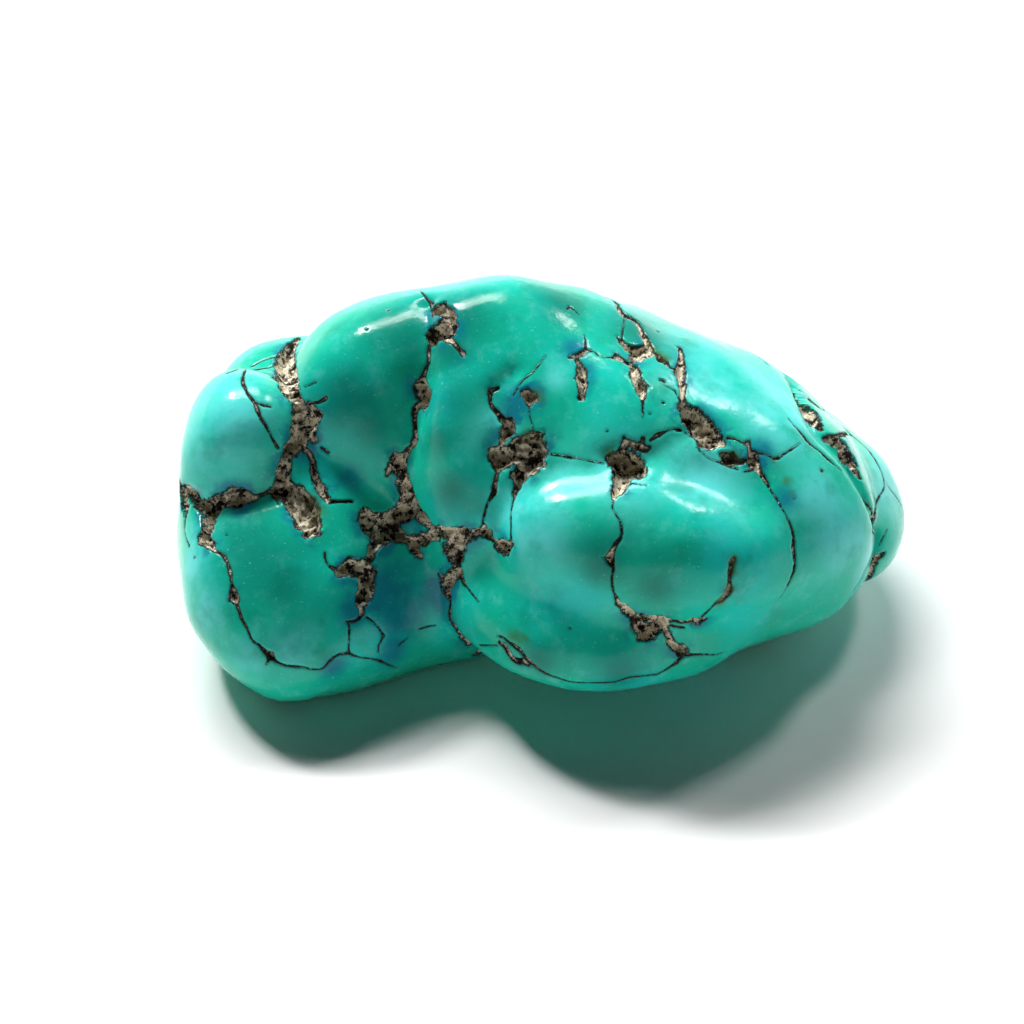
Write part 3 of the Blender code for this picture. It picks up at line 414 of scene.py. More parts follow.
RIGHT_MARKS = {
    "nose_pit": [(9.4, -4.0, 0.4), (10.8, -5.0, 0.8), (11.8, -6.4, 0.9), (11.4, -7.8, 0.5)],
    "nose_arm": [(10.8, -5.0, 0.5), (12.6, -4.2, 0.4), (14.4, -4.8, 0.5), (16.0, -6.4, 0.4)],
    "flank_pit": [(-1.6, -8.4, 0.3), (-0.4, -9.0, 0.7), (0.8, -8.8, 0.5), (1.8, -9.6, 0.3)],
}

# ---- Valleys: soft grooves between lobes, drawn on the front sheet: depth, then u, v and half-width
VALLEYS = {
    "nose_crease": (0.5, [
        (20.2, 10.8, 0.3), (21.1, 9.6, 0.5), (22.8, 6.2, 0.6), (24.6, 4.3, 0.6), (26.2, 1.8, 0.5),
        (27.1, -0.4, 0.5), (27.3, -2.6, 0.5), (26.4, -4.8, 0.5), (25.2, -6.8, 0.3),
    ]),
    "shoulder_valley": (0.6, [(-6.6, 15.6, 0.8), (-6.5, 12.0, 1.2), (-6.9, 9.3, 1.2), (-8.1, 4.6, 1.2)]),
    "centre_valley": (0.5, [(0.0, 10.5, 0.8), (-1.3, 8.8, 1.1), (-0.6, 6.5, 1.2), (-1.1, 4.3, 1.2)]),
    "waist_valley": (0.5, [(-24.1, 1.1, 0.9), (-22.5, 0.3, 1.1), (-20.4, 0.9, 1.1), (-18.3, 1.4, 0.9)]),
    "saddle": (0.35, [(7.6, 3.9, 1.0), (9.6, 3.8, 1.1), (11.7, 5.0, 1.1), (14.6, 6.4, 1.1)]),
}

# ---- Patches and stains, drawn on the front sheet: u, v and size; some patches are painted shade and painted sheen
# Bluer patches: painted shade in the hollow between heel and belly and at the shoulder's foot; bluer along
# the heel's lower edge; elsewhere the stone's own blue near its marks
BLUE_AND_SHADE_PATCHES = {
    "hollow": [(-9.5, -5.8, 3.1), (-8.4, -7.7, 2.4), (-5.4, -6.2, 2.1), (-11.8, -7.3, 1.6)],
    "shoulder_foot": [(-12.2, 2.5, 1.2)],
    "net": [(0.6, 8.4, 1.6), (1.0, 4.6, 1.5)],
    "heel_hem": [(-13.3, -11.7, 1.3), (-8.8, -10.3, 1.8)],
    "centre": [(4.7, 12.2, 1.2)],
    "flank_blue": [(18.6, 4.6, 1.3), (20.5, 0.9, 1.1)],
    "left_pit": [(-15.5, 4.6, 1.3), (-20.4, 0.9, 1.1)],
}

# Darker green patches, mostly painted shade: on the shoulder's steep face, the brow's front, the heel, the
# column and its foot and the belly's lower edge, and damping the lamplight on the dome; partly the stone's
# own deeper green
DEEP_AND_SHADE_PATCHES = {
    "shoulder": [(-12.2, 8.4, 3.1), (-10.7, 6.5, 2.2), (-16.6, 13.7, 3.0)],
    "brow_scoop": [(6.6, -4.0, 1.9), (10.7, -5.7, 1.9)],
    "heel": [(-19.6, -3.2, 3.8), (-17.0, -5.8, 2.5)],
    "column_foot": [(-4.6, 1.6, 1.9), (-5.4, 5.4, 1.8)],
    "belly_hem": [(8.1, -12.0, 2.1), (2.1, -11.2, 1.6)],
    "column": [(-4.3, 8.4, 2.5), (-4.6, 12.2, 2.2)],
    "dome": [(-8.4, 13.7, 3.6), (-3.9, 14.8, 3.0), (9.6, 13.7, 3.3), (3.6, 15.9, 2.5)],
}

# Paler patches, mostly painted sheen and painted light on faces that catch the light: plateau, dome side,
# flank, nose, head, brow and heel; partly the stone's own chalky tone
PALE_AND_SHEEN_PATCHES = {
    "dome_side": [(21.6, 12.2, 3.0), (25.3, 7.6, 2.5), (13.3, 15.1, 2.5)],
    "plateau": [(15.6, 9.9, 4.3), (20.1, 6.9, 3.6), (17.1, 12.9, 3.1), (14.1, 2.4, 3.6), (18.6, 8.4, 3.1)],
    "brow": [(3.6, 1.6, 3.0), (8.1, 2.4, 3.0)],
    "head": [(-21.1, 7.3, 3.4), (-22.6, 5.0, 2.9), (-20.4, 9.2, 2.5)],
    "flank": [(25.3, -2.1, 3.0), (26.8, -3.6, 2.2), (23.1, 0.9, 3.0), (23.8, -1.3, 2.5)],
    "nose": [(28.0, 1.6, 2.6), (26.1, 6.1, 1.9)],
    "button": [(3.4, 10.7, 0.9), (3.3, 9.9, 0.8)],
    "heel_side": [(-23.8, -4.3, 2.1), (-23.0, -7.3, 1.9)],
    "heel_low": [(-16.6, -10.0, 1.8), (-19.6, -11.1, 1.6)],
    "middle": [(0.6, 0.9, 1.9), (2.1, -2.1, 2.2), (-1.6, 6.1, 1.8)],
}

# ---- Hairlines that only this finer mesh can carry, on the back, left and right sheets
BACK_HAIRS = {
    "crown_hair": [(0.8, -1.6, 0.12), (1.6, -2.6, 0.07), (2.0, -3.5, 0.1)],
    "crown_rise": [(-3.4, 0.8, 0.12), (-4.6, 2.4, 0.07), (-4.9, 4.2, 0.09), (-6.0, 5.6, 0.06)],
    "spur_hair": [
        (9.8, -4.6, 0.12), (11.6, -4.0, 0.07), (13.2, -4.4, 0.09), (15.0, -3.6, 0.07), (16.6, -4.0, 0.12),
    ],
    "pocket_hair": [
        (-12.6, -6.4, 0.14), (-13.8, -5.4, 0.07), (-15.4, -5.6, 0.1), (-16.4, -4.4, 0.07),
        (-18.0, -3.6, 0.09), (-20.2, -3.4, 0.06),
    ],
    "arm_hair": [
        (-3.8, -10.4, 0.14), (-2.4, -11.4, 0.08), (-0.6, -11.8, 0.1), (1.4, -11.0, 0.07), (3.4, -11.4, 0.1),
        (5.6, -10.4, 0.07), (8.2, -8.6, 0.12),
    ],
    "ledge_hair": [(-16.2, -8.8, 0.12), (-14.6, -10.0, 0.07), (-13.2, -10.2, 0.09), (-11.6, -11.6, 0.07)],
    "ridge_hair": [(17.2, -8.2, 0.14), (16.4, -9.8, 0.08), (14.6, -10.6, 0.1), (12.8, -11.8, 0.08)],
    "high_hair": [(4.0, -4.2, 0.1), (5.0, -1.8, 0.07), (4.4, 0.4, 0.08), (6.0, 2.6, 0.07), (7.4, 3.4, 0.06)],
    "twig_hair": [
        (-9.6, -8.4, 0.1), (-8.6, -5.8, 0.07), (-7.0, -4.4, 0.09), (-5.6, -2.0, 0.07), (-3.4, -0.2, 0.1),
    ],
}
LEFT_HAIRS = {
    "cheek_hair": [(-9.2, -5.4, 0.12), (-7.6, -6.0, 0.07), (-6.2, -7.0, 0.09), (-4.4, -7.4, 0.12)],
    "cheek_rise": [(-12.6, -1.8, 0.12), (-12.2, 0.2, 0.07), (-13.0, 2.0, 0.08), (-12.4, 3.6, 0.06)],
    "heel_hair": [(-2.0, -8.8, 0.12), (-0.4, -9.6, 0.07), (1.6, -9.4, 0.08)],
}
RIGHT_HAIRS = {
    "nose_back_hair": [
        (11.4, -7.8, 0.12), (10.4, -9.2, 0.08), (8.6, -9.8, 0.1), (6.4, -10.6, 0.07), (4.0, -10.0, 0.09),
        (1.8, -9.6, 0.12),
    ],
    "nose_up_hair": [(9.4, -4.0, 0.12), (8.8, -2.4, 0.07), (9.6, -0.8, 0.08)],
}

# ---- Dark specks, and olive and brown stains, on the front sheet: u, v and size
SPECKS = [
    (7.1, 6.1, 0.10), (-21.4, -1.7, 0.10), (-23.8, -3.4, 0.10), (10.9, 13.5, 0.09), (11.3, 8.2, 0.10),
    (10.3, 7.4, 0.09), (4.3, -8.7, 0.09), (-9.3, 15.1, 0.10), (-10.9, 13.7, 0.10), (21.1, 1.0, 0.09),
    (23.2, 3.1, 0.11),
]

STAINS = {
    "left_olive": [(-15.0, 0.9, 0.67), (-14.5, 0.1, 0.60)],
    "centre_green": [(1.2, 5.7, 0.53), (2.1, 5.4, 0.45)],
    "spot_green": [(1.9, 8.9, 0.38), (2.2, 8.5, 0.30)],
    "second_green": [(7.3, 4.5, 0.38)],
    "net_green": [
        (10.3, 12.7, 0.22), (10.7, 12.3, 0.30), (11.1, 11.9, 0.38), (11.5, 11.6, 0.38),
        (11.8, 11.5, 0.22),
    ],
    "bottom_green": [(0.0, -9.3, 0.38), (0.5, -9.4, 0.45), (1.1, -9.6, 0.30)],
    "right_smear": [(19.6, 3.8, 0.19), (20.1, 3.1, 0.22), (20.6, 2.3, 0.26), (21.0, 1.4, 0.19)],
    "belly_brown": [(16.6, -4.5, 0.38), (16.3, -5.8, 0.45), (15.6, -6.8, 0.38), (16.6, -3.6, 0.45)],
    "third_green": [(16.7, 4.1, 0.53)],
    "crease_green": [(24.4, 5.2, 0.38), (25.1, 5.5, 0.30)],
    "nose_brown": [(23.2, 3.1, 0.22)],
}

# ---- Sheets: each one's turn round the stone and rise above the table, in degrees
FRONT, BACK, LEFT, RIGHT = (0, 40), (180, 25), (-90, 15), (90, 15)
SHEETS = (
    (FRONT, FRONT_MARKS),
    (BACK, BACK_MARKS),
    (LEFT, LEFT_MARKS),
    (RIGHT, RIGHT_MARKS),
    (BACK, BACK_HAIRS),
    (LEFT, LEFT_HAIRS),
    (RIGHT, RIGHT_HAIRS),
)
SHEET_MIDDLE = np.array((0.0, 0.0, 13.0))
THROW = 213.0  # marks are thrown onto the skin from this far off, spreading as lamplight does
FOOT_EDGE = 0.5  # how softly the ground-down feet round over into the stone
MIDDLE = np.array((1.5, 3.5, 12.0))  # every skin point is seen from here
SHELL = (36.0, 27.0, 22.0)  # half-sizes of an egg round the stone
SPINE = (22.0, 5.0, 0.0)  # half-sizes of the flat core that the egg's points head for
FOOTPRINT = (2.39, 4.9)  # the middle of the stone's outline from above, which becomes the origin
DEEPEST = 1.0  # depth of the widest pits
RIM = 0.04  # how far out from its edge a mark starts to sink
REACH = 1.6  # how far from a mark its surroundings count
CURVE_STEP = 0.3  # length of the short runs that a drawn stroke is split into
SPECK_RUN = 0.04  # length of the short stroke that stands for a speck
THINNEST = 0.03  # half-width of the finest hairline
NUDGE = 0.02  # how far off the field is read again to find its slope
SHORTEN = 0.7  # share of each step that a ray takes, because the field is only roughly a distance
TOUCH = 1e-4  # nearer than this, a ray has met the skin
WALK = 60.0  # how far a ray goes before it has missed
BALL_CUTS = 6  # subdivisions of the ball that the skin starts as
SETTLING = 8  # rounds that even out the first skin
# how far from a mark, and how long the edges there should be at most
GRADES = ((0.9, 0.62), (0.45, 0.34), (0.16, 0.19))


# ---- The skin

def turning(degrees):
    """The matrix that turns by the given angles about X, then Y, then Z."""
    return np.array(Euler([math.radians(angle) for angle in degrees]).to_matrix())


def soft_union(a, b, blend):
    mix = np.maximum(blend - np.abs(a - b), 0.0) / blend
    return np.minimum(a, b) - mix * mix * blend * 0.25


def soft_trim(a, b, blend):
    return -soft_union(-a, -b, blend)


def stone_field(points):
    """Roughly the distance from the stone's skin, negative inside."""
    field = None
    for centre, radii, turn, square, blend in LOBES.values():
        local = np.abs((points - np.array(centre)) @ turning(turn)) / np.array(radii) + 1e-9
        near = (local**square).sum(-1) ** (1.0 / square)
        slope = np.sqrt((((local / near[..., None]) ** (square - 1) / np.array(radii)) ** 2).sum(-1))
        lobe = (near - 1.0) / slope
        field = lobe if field is None else soft_union(field, lobe, blend)
    for centre, spread, turn, height in STROKES.values():
        local = ((points - np.array(centre)) @ turning(turn)) / np.array(spread)
        field = field - height * np.exp(-0.5 * (local**2).sum(-1))
    for height, beat, phase in WAVES:
        field = field - height * np.sin(2.0 * math.pi * (points @ np.array(beat)) + phase)
    return soft_trim(field, -points[..., 2], FOOT_EDGE)


def skin_slope(points):
    """The field at the points and the unit direction straight out of the skin there."""
    here = stone_field(points)
    slope = np.stack([stone_field(points + nudge) - here for nudge in np.eye(3) * NUDGE], axis=-1)
    return here, slope / np.maximum(np.linalg.norm(slope, axis=-1, keepdims=True), 1e-9)


def first_hit(start, direction):
    """How far each ray walks from start to the skin, and whether it meets it at all."""
    walked = np.zeros(len(start))
    live = np.ones(len(start), bool)
    for _ in range(90):
        step = stone_field(start[live] + direction[live] * walked[live, None])
        walked[live] += step * SHORTEN
        still = (np.abs(step) > TOUCH) & (walked[live] < WALK)
        live[np.flatnonzero(live)[~still]] = False
        if not live.any():
            break
    return walked, walked < WALK


def onto_skin(shell):
    """Skin points met on the way in from shell points towards the stone's spine."""
    start = shell * np.array(SHELL) + MIDDLE
    inward = shell * np.array(SPINE) + MIDDLE - start
    inward /= np.linalg.norm(inward, axis=1, keepdims=True)
    walked, _ = first_hit(start, inward)
    return start + inward * walked[:, None]


def corners(bm):
    return np.array([vertex.co for vertex in bm.verts])


def move_corners(bm, points):
    for vertex, point in zip(bm.verts, points):
        vertex.co = point


def settle(bm, rounds):
    """Evens out the corners along the skin: each round relaxes them, then drops them back onto it."""
    for _ in range(rounds):
        bmesh.ops.smooth_vert(
            bm, verts=bm.verts, factor=0.5, use_axis_x=True, use_axis_y=True, use_axis_z=True)
        points = corners(bm)
        for _ in range(2):
            here, out = skin_slope(points)
            points = points - out * here[:, None]
        move_corners(bm, points)


# ---- Marks on the skin

def smooth_curve(points):
    """A smooth (Catmull-Rom) curve through the given points, in steps of about CURVE_STEP."""
    points = np.array(points, float)
    points = np.vstack([2 * points[0] - points[1], points, 2 * points[-1] - points[-2]])
    run = []
    for before, start, end, after in zip(points, points[1:], points[2:], points[3:]):
        count = max(int(np.linalg.norm((end - start)[:2]) / CURVE_STEP), 1)
        along = np.arange(count)[:, None] / count
        bend = 2 * before - 5 * start + 4 * end - after
        twist = 3 * start - before - 3 * end + after
        run.append(0.5 * (2 * start + (end - before) * along + bend * along**2 + twist * along**3))
    run.append(points[-2:-1])
    return np.vstack(run)


def thrown(sheet, curve):
    """The skin under a curve drawn on a sheet: points on the skin, and the widths there."""
    turn, rise = (math.radians(angle) for angle in sheet)
    right = np.array((math.cos(turn), math.sin(turn), 0.0))
    back = np.array((math.sin(turn) * math.cos(rise), -math.cos(turn) * math.cos(rise), math.sin(rise)))
    up = np.cross(back, right)
    spots = SHEET_MIDDLE + curve[:, :1] * right + curve[:, 1:2] * up
    aim = spots - (SHEET_MIDDLE + back * THROW)
    aim /= np.linalg.norm(aim, axis=1, keepdims=True)
    start = spots - aim * WALK / 2.0
    walked, met = first_hit(start, aim)
    skin = start + aim * walked[:, None]
    return skin[met], np.maximum(curve[met, 2], THINNEST)


def all_trails():
    """Every mark on the skin: the points along it, and its half-width at each."""
    trails = [thrown(sheet, smooth_curve(stroke)) for sheet, marks in SHEETS for stroke in marks.values()]
    dots = [thrown(FRONT, np.array([(u, v, size), (u + SPECK_RUN, v, size)])) for u, v, size in SPECKS]
    return [trail for trail in trails + dots if len(trail[0]) > 1]


def read_marks(points, trails, ragged):
    """How far each point lies inside a mark (minus: outside), how deep it is worn, and the mark's width."""
    inside = np.full(len(points), -REACH)
    broad = np.zeros(len(points))
    sunk = np.zeros(len(points))
    for spots, widths in trails:
        margin = REACH + widths.max()
        box = (points > spots.min(0) - margin) & (points < spots.max(0) + margin)
        near = np.flatnonzero(box.all(1))
        if not len(near):
            continue
        best = np.full(len(near), -REACH)
        width = np.full(len(near), widths[0])
        for a, b, wide_a, wide_b in zip(spots, spots[1:], widths, widths[1:]):
            run = b - a
            along = np.clip((points[near] - a) @ run / max(run @ run, 1e-9), 0.0, 1.0)
            wide = wide_a + (wide_b - wide_a) * along
            gap = wide - np.linalg.norm(points[near] - a - along[:, None] * run, axis=1)
            width = np.where(gap > best, wide, width)
            best = np.maximum(best, gap)
        best = best + ragged[near] * np.minimum(0.34, 0.6 * width)
        broad[near] = np.where(best > inside[near], width, broad[near])
        inside[near] = np.maximum(inside[near], best)
        wall = np.minimum(0.4, 0.9 * width)
        share = np.clip((best + RIM) / (wall + RIM), 0.0, 1.0)
        deepest = np.clip(1.7 * width - 0.05, 0.03, DEEPEST)
        sunk[near] = np.maximum(sunk[near], deepest * share * share * (3.0 - 2.0 * share))
    return inside, sunk, broad


def valley_depth(points):
    """How deep the soft grooves between the lobes are at each point."""
    sunk = np.zeros(len(points))
    for deepest, line in VALLEYS.values():
        spots, widths = thrown(FRONT, smooth_curve(line))
        margin = 3.0 * widths.max()
        box = (points > spots.min(0) - margin) & (points < spots.max(0) + margin)
        near = np.flatnonzero(box.all(1))
        gaps = np.linalg.norm(points[near][:, None] - spots[None], axis=2) / widths[None]
        sunk[near] = np.maximum(sunk[near], deepest * np.exp(-(gaps.min(1) ** 2)))
    return sunk


def crumble(points, size, seed):
    """Cloudy noise from -1 to 1 with the given grain, in millimetres."""
    shift = Vector((seed * 17.3, seed * 5.1, seed * 9.7))
    return np.array([noise.noise(Vector(point) / size + shift) for point in points])


def refine(bm, trails):
    """Splits the edges near the marks ever finer, and settles the new corners on the skin."""
    for reach, longest in GRADES:
        for _ in range(3):
            bm.verts.index_update()
            points = corners(bm)
            inside = read_marks(points, trails, np.zeros(len(points)))[0]
            near = inside > -reach
            long = [edge for edge in bm.edges if edge.calc_length() > longest * 1.4
                    and any(near[corner.index] for corner in edge.verts)]
            if not long:
                break
            bmesh.ops.subdivide_edges(bm, edges=long, cuts=1, use_grid_fill=True)
            bmesh.ops.triangulate(bm, faces=[face for face in bm.faces if len(face.verts) > 3])
            settle(bm, 1)


def nugget_mesh():
    bm = bmesh.new()
    bmesh.ops.create_icosphere(bm, subdivisions=BALL_CUTS, radius=1.0)
    move_corners(bm, onto_skin(corners(bm)))
    settle(bm, SETTLING)
    trails = all_trails()
    refine(bm, trails)
    points = corners(bm)
    ragged = 0.7 * crumble(points, 0.9, 1) + 0.6 * crumble(points, 0.33, 2)
    inside, sunk, broad = read_marks(points, trails, ragged)
    grain = crumble(points, 0.55, 3) + 0.6 * crumble(points, 0.25, 4)
    worn = sunk * (1.0 + 0.38 * grain) + valley_depth(points)
    worn *= np.clip(points[:, 2] - 0.3, 0.0, 1.0)
    _, out = skin_slope(points)
    move_corners(bm, points - out * worn[:, None])
    for vertex in bm.verts:
        vertex.co.z = max(vertex.co.z, 0.0)
    bmesh.ops.translate(bm, vec=Vector((-FOOTPRINT[0], -FOOTPRINT[1], 0.0)), verts=bm.verts)
    bmesh.ops.scale(bm, vec=Vector((MM, MM, MM)), verts=bm.verts)
    mesh = bpy.data.meshes.new("polished_nugget")
    bm.to_mesh(mesh)
    bm.free()
    mesh.shade_smooth()
    # real stains, and patches that are partly painted shade (deep, blue) and painted sheen (pale)
    stain, blue, deep, pale = (stains_and_painted_light(points, spots) for spots in (STAINS, BLUE_AND_SHADE_PATCHES, DEEP_AND_SHADE_PATCHES, PALE_AND_SHEEN_PATCHES))
    deep = np.maximum(deep, np.clip(1.8 * out[:, 1] - 0.5, 0.0, 0.9))  # painted shade: the far side, which faces the lamps, is darkened
    for name, values in (("inside", inside), ("broad", broad), ("stain", stain), ("blue", blue),
                         ("deep", deep), ("pale", pale)):
        mesh.attributes.new(name, "FLOAT", "POINT").data.foreach_set("value", values.astype(np.float32))
    return mesh


def stains_and_painted_light(points, patches):
    """How strongly each point takes a stain, a patch of colour, painted shade or painted sheen: 1 in a
    patch's middle, fading over its size.
    """
    amount = np.zeros(len(points))
    for spots in patches.values():
        skin, sizes = thrown(FRONT, np.array(spots))
        for centre, size in zip(skin, sizes):
            gap = np.linalg.norm(points - centre, axis=1) / size
            amount = np.maximum(amount, np.exp(-(gap**2)))
    return amount


# ---- Materials

GREEN, CYAN = (0.007, 0.50, 0.335), (0.009, 0.60, 0.53)  # the stone's two main colours
# The chalky colour also stands for painted sheen and painted light, the deep green and the blue partly for
# painted shade.
CHALK_AND_SHEEN, DEEP_GREEN_AND_SHADE, BLUE = (0.11, 0.70, 0.67), (0.004, 0.17, 0.13), (0.006, 0.19, 0.28)
DARK_MOTTLE, PALE_MOTTLE = (0.004, 0.28, 0.18), (0.10, 0.66, 0.56)
PALE_FLECK, DARK_FLECK, DARK_EDGE = (0.30, 0.72, 0.62), (0.01, 0.12, 0.09), (0.01, 0.10, 0.08)
DARK_MATRIX, CREAM, BROWN_GRIT = (0.012, 0.009, 0.006), (1.0, 0.90, 0.68), (0.03, 0.024, 0.015)
OLIVE_SKIN, OLIVE_MATRIX = (0.06, 0.14, 0.02), (0.09, 0.10, 0.015)
GLOSS = (0.13, 0.25)  # roughness of the polish, from its smoothest to its dullest
SHEEN = 0.18  # how strongly the polish mirrors


class Term:
    """A node's output that can be reckoned with: each operation adds a Math node."""

    def __init__(self, tree, socket):
        self.tree, self.socket = tree, socket

    def reckon(self, operation, *values):
        return make(self.tree, "ShaderNodeMath", {"operation": operation}, values)

    def __add__(self, other):
        return self.reckon("ADD", self, other)

    def __sub__(self, other):
        return self.reckon("SUBTRACT", self, other)

    def __rsub__(self, other):
        return self.reckon("SUBTRACT", other, self)

    def __mul__(self, other):
        return self.reckon("MULTIPLY", self, other)

    __radd__ = __add__
    __rmul__ = __mul__

    def ramp(self, low, high, to_low=0.0, to_high=1.0):
        """Eases from to_low to to_high as the value goes from low to high."""
        return make(self.tree, "ShaderNodeMapRange", {"interpolation_type": "SMOOTHSTEP"},
                    {"Value": self, "From Min": low, "From Max": high, "To Min": to_low, "To Max": to_high})


def make(tree, kind, settings=None, values=(), output=0):
    """Adds a node: its settings first, then its sockets' values or links, by place or by name."""
    node = tree.nodes.new(kind)
    for name, value in (settings or {}).items():
        setattr(node, name, value)
    pairs = values.items() if isinstance(values, dict) else enumerate(values)
    for where, value in pairs:
        socket = node.inputs[where]
        if isinstance(value, Term):
            tree.links.new(value.socket, socket)
        else:
            socket.default_value = value
    return Term(tree, node.outputs[output])


def blend(tree, share, low, high):
    """Mixes two colours: low where share is 0, high where it is 1."""
    low, high = (colour if isinstance(colour, Term) else (*colour, 1.0) for colour in (low, high))
    return make(tree, "ShaderNodeMix", {"data_type": "RGBA"}, {0: share, 6: low, 7: high}, output=2)


def turquoise():
    """Polished turquoise, with crumbling matrix wherever the marks are worn in."""
    material = bpy.data.materials.new("turquoise with matrix")
    material.use_nodes = True
    tree = material.node_tree
    shader = tree.nodes["Principled BSDF"]
    place = make(tree, "ShaderNodeTexCoord", output=3)
    place = make(tree, "ShaderNodeVectorMath", {"operation": "SCALE"}, {"Vector": place, "Scale": 1.0 / MM})

    def cloud(scale, detail=3.0, rough=0.55):
        return make(tree, "ShaderNodeTexNoise", {},
                    {"Vector": place, "Scale": scale, "Detail": detail, "Roughness": rough})

    def worn(name):
        return make(tree, "ShaderNodeAttribute", {"attribute_name": name}, output=2)

    inside, broad, stain = worn("inside"), worn("broad"), worn("stain")
    jag = (cloud(2.2, 5.0, 0.7) - 0.5) * 1.3 + (cloud(8.0, 2.0) - 0.5) * 0.6
    edge = inside + jag * broad.ramp(0.05, 0.6, 0.04, 0.6)
    filled = edge.ramp(-0.015, 0.03)
    grit = cloud(5.0, 4.0, 0.7)
    crumbs = edge.ramp(0.05, 0.17) * (cloud(1.0, 6.0, 0.75) + seams(tree, place) * 0.3).ramp(0.46, 0.54)
    stone = stone_colour(tree, cloud, worn, edge)
    stone = blend(tree, stain * 0.75, stone, OLIVE_SKIN)
    matrix = blend(tree, crumbs, DARK_MATRIX, CREAM)
    matrix = blend(tree, grit.ramp(0.36, 0.46, 0.8, 0.0), matrix, BROWN_GRIT)
    matrix = blend(tree, stain * 0.8, matrix, OLIVE_MATRIX)
    colour = blend(tree, filled, stone, matrix)
    rough = filled * 0.5 + cloud(1.5, 4.0).ramp(0.3, 0.8, *GLOSS)
    lumps = (grit * 0.9 + crumbs * 0.7) * filled + cloud(0.9, 5.0, 0.6) * 0.16
    bump = make(tree, "ShaderNodeBump", {}, {"Strength": 0.8, "Distance": 0.3 * MM, "Height": lumps})
    for value, socket in ((colour, "Base Color"), (rough, "Roughness"), (bump, "Normal")):
        tree.links.new(value.socket, shader.inputs[socket])
    shader.inputs["Specular IOR Level"].default_value = SHEEN
    return material


def seams(tree, place):
    """Narrow seams between the crumbs of the matrix: 0 along a seam."""
    return make(tree, "ShaderNodeTexVoronoi", {"feature": "DISTANCE_TO_EDGE"},
                {"Vector": place, "Scale": 1.2, "Randomness": 1.0})


def stone_colour(tree, cloud, worn, edge):
    """The stone between the marks: its green and cyan drift, its patches (painted shade and painted sheen
    among them), and its darker mark edges.
    """
    stone = blend(tree, cloud(0.12, 2.0).ramp(0.42, 0.75), GREEN, CYAN)
    # pale patches: painted sheen and painted light, partly paler stone
    stone = blend(tree, worn("pale") * cloud(0.3, 4.0).ramp(0.25, 0.6), stone, CHALK_AND_SHEEN)
    stone = blend(tree, cloud(0.45, 4.0).ramp(0.5, 0.75) * 0.45, stone, DARK_MOTTLE)
    stone = blend(tree, cloud(0.7, 8.0, 0.65).ramp(0.50, 0.72) * 0.45, stone, PALE_MOTTLE)
    # deep patches: painted shade, partly deeper green stone; the far side's painted shade joins them here
    stone = blend(tree, worn("deep") * 0.8, stone, DEEP_GREEN_AND_SHADE)
    # blue patches: painted shade in the hollow and at the shoulder's foot, elsewhere bluer stone; the blue
    # beside wide marks is the stone's own
    patches = worn("blue") * cloud(0.5, 4.0).ramp(0.2, 0.55, 0.6, 1.0)
    beside = worn("inside").ramp(-1.3, -0.1) * worn("broad").ramp(0.1, 0.4) * cloud(0.4, 3.0).ramp(0.42, 0.6)
    stone = blend(tree, (patches + beside * 0.7).ramp(0.0, 1.0, 0.0, 0.9), stone, BLUE)
    stone = blend(tree, cloud(4.5, 3.0, 0.6).ramp(0.66, 0.72) * 0.35, stone, PALE_FLECK)
    stone = blend(tree, cloud(6.0, 3.0, 0.6).ramp(0.68, 0.74) * 0.35, stone, DARK_FLECK)
    return blend(tree, edge.ramp(-0.12, 0.0) * 0.5, stone, DARK_EDGE)


# ---- Floor, lamps and camera

FLOOR_RADIUS = 0.6  # metres; small enough that its rim is still well lit
FLOOR_PALE = (0.93, 0.93, 0.93, 1.0)
LAMP_DISTANCE = 1.2  # metres
# each lamp's turn and rise in degrees, width and height in metres, and power in watts
LAMPS = {
    "back_window": (180 + 18, 55, 0.8, 0.3, 17.5),
    "left_back_lamp": (180 + 43, 48, 0.15, 0.15, 8.0),
    "right_back_lamp": (180 - 43, 48, 0.15, 0.15, 3.5),
}


def floor():
    bm = bmesh.new()
    bmesh.ops.create_circle(bm, cap_ends=True, segments=96, radius=FLOOR_RADIUS)
    mesh = bpy.data.meshes.new("floor")
    bm.to_mesh(mesh)
    bm.free()
    ground = bpy.data.objects.new("floor", mesh)
    bpy.context.scene.collection.objects.link(ground)
    material = bpy.data.materials.new("pale floor")
    material.use_nodes = True
    shader = material.node_tree.nodes["Principled BSDF"]
    shader.inputs["Base Color"].default_value = FLOOR_PALE
    shader.inputs["Roughness"].default_value = 0.7
    shader.inputs["Specular IOR Level"].default_value = 0.0
    mesh.materials.append(material)
    return ground


def toward(turn, rise):
    """The direction that a viewer looks from, who has gone round by turn and up by rise."""
    turn, rise = math.radians(turn), math.radians(rise)
    return Vector((math.sin(turn) * math.cos(rise), -math.cos(turn) * math.cos(rise), math.sin(rise)))


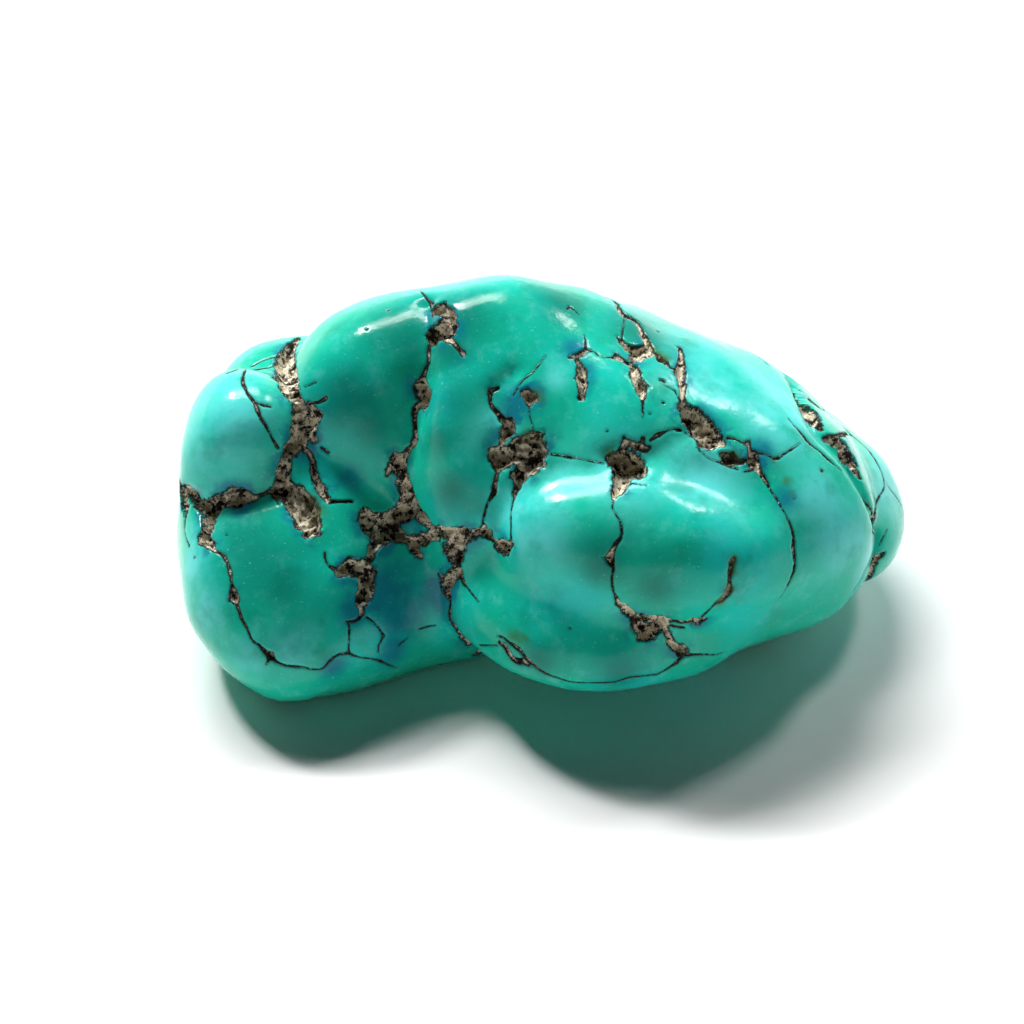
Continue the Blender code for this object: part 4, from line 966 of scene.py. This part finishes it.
def lamp(name, turn, rise, wide, tall, power):
    light = bpy.data.lights.new(name, "AREA")
    light.shape, light.size, light.size_y, light.energy = "RECTANGLE", wide, tall, power
    holder = bpy.data.objects.new(name, light)
    holder.location = toward(turn, rise) * LAMP_DISTANCE
    holder.rotation_euler = (-toward(turn, rise)).to_track_quat("-Z", "Y").to_euler()
    bpy.context.scene.collection.objects.link(holder)


def world():
    """A dim studio: bright low down all round, with a soft glow behind the stone."""
    sky = bpy.data.worlds.new("studio")
    sky.use_nodes = True
    tree = sky.node_tree
    back = tree.nodes["Background"]
    back.inputs["Color"].default_value = (1.0, 1.0, 1.0, 1.0)
    facing = make(tree, "ShaderNodeTexCoord", output=0)
    side, depth, height = (make(tree, "ShaderNodeSeparateXYZ", {}, (facing,), output) for output in range(3))
    skirt = height.ramp(0.06, 0.16, 1.3, 0.0)
    behind = depth.ramp(0.2, 0.8) * 1.5 + (side * side).ramp(0.3, 0.9) * 0.05
    glow = skirt + height.ramp(0.1, 0.7, 1.0, 0.0) * behind + 0.01
    tree.links.new(glow.socket, back.inputs["Strength"])
    bpy.context.scene.world = sky


def camera():
    turn, rise = FRONT
    view = bpy.data.cameras.new("camera")
    view.lens, view.sensor_width = 100.0, 36.0
    holder = bpy.data.objects.new("camera", view)
    aim = Vector((-FOOTPRINT[0], -FOOTPRINT[1], SHEET_MIDDLE[2])) * MM
    back = toward(turn, rise)
    right = Vector((math.cos(math.radians(turn)), math.sin(math.radians(turn)), 0.0))
    holder.matrix_world = Matrix.Translation(aim + back * (THROW * MM)) @ Matrix(
        (right, back.cross(right), back)).transposed().to_4x4()
    bpy.context.scene.collection.objects.link(holder)
    bpy.context.scene.camera = holder


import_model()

stone = bpy.data.objects.new("polished_nugget", nugget_mesh())
stone.data.materials.append(turquoise())
bpy.context.scene.collection.objects.link(stone)
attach(stone, "root")
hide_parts("nugget")

floor()
for name, setting in LAMPS.items():
    lamp(name, *setting)
world()
camera()
bpy.context.scene.view_settings.view_transform = "Standard"
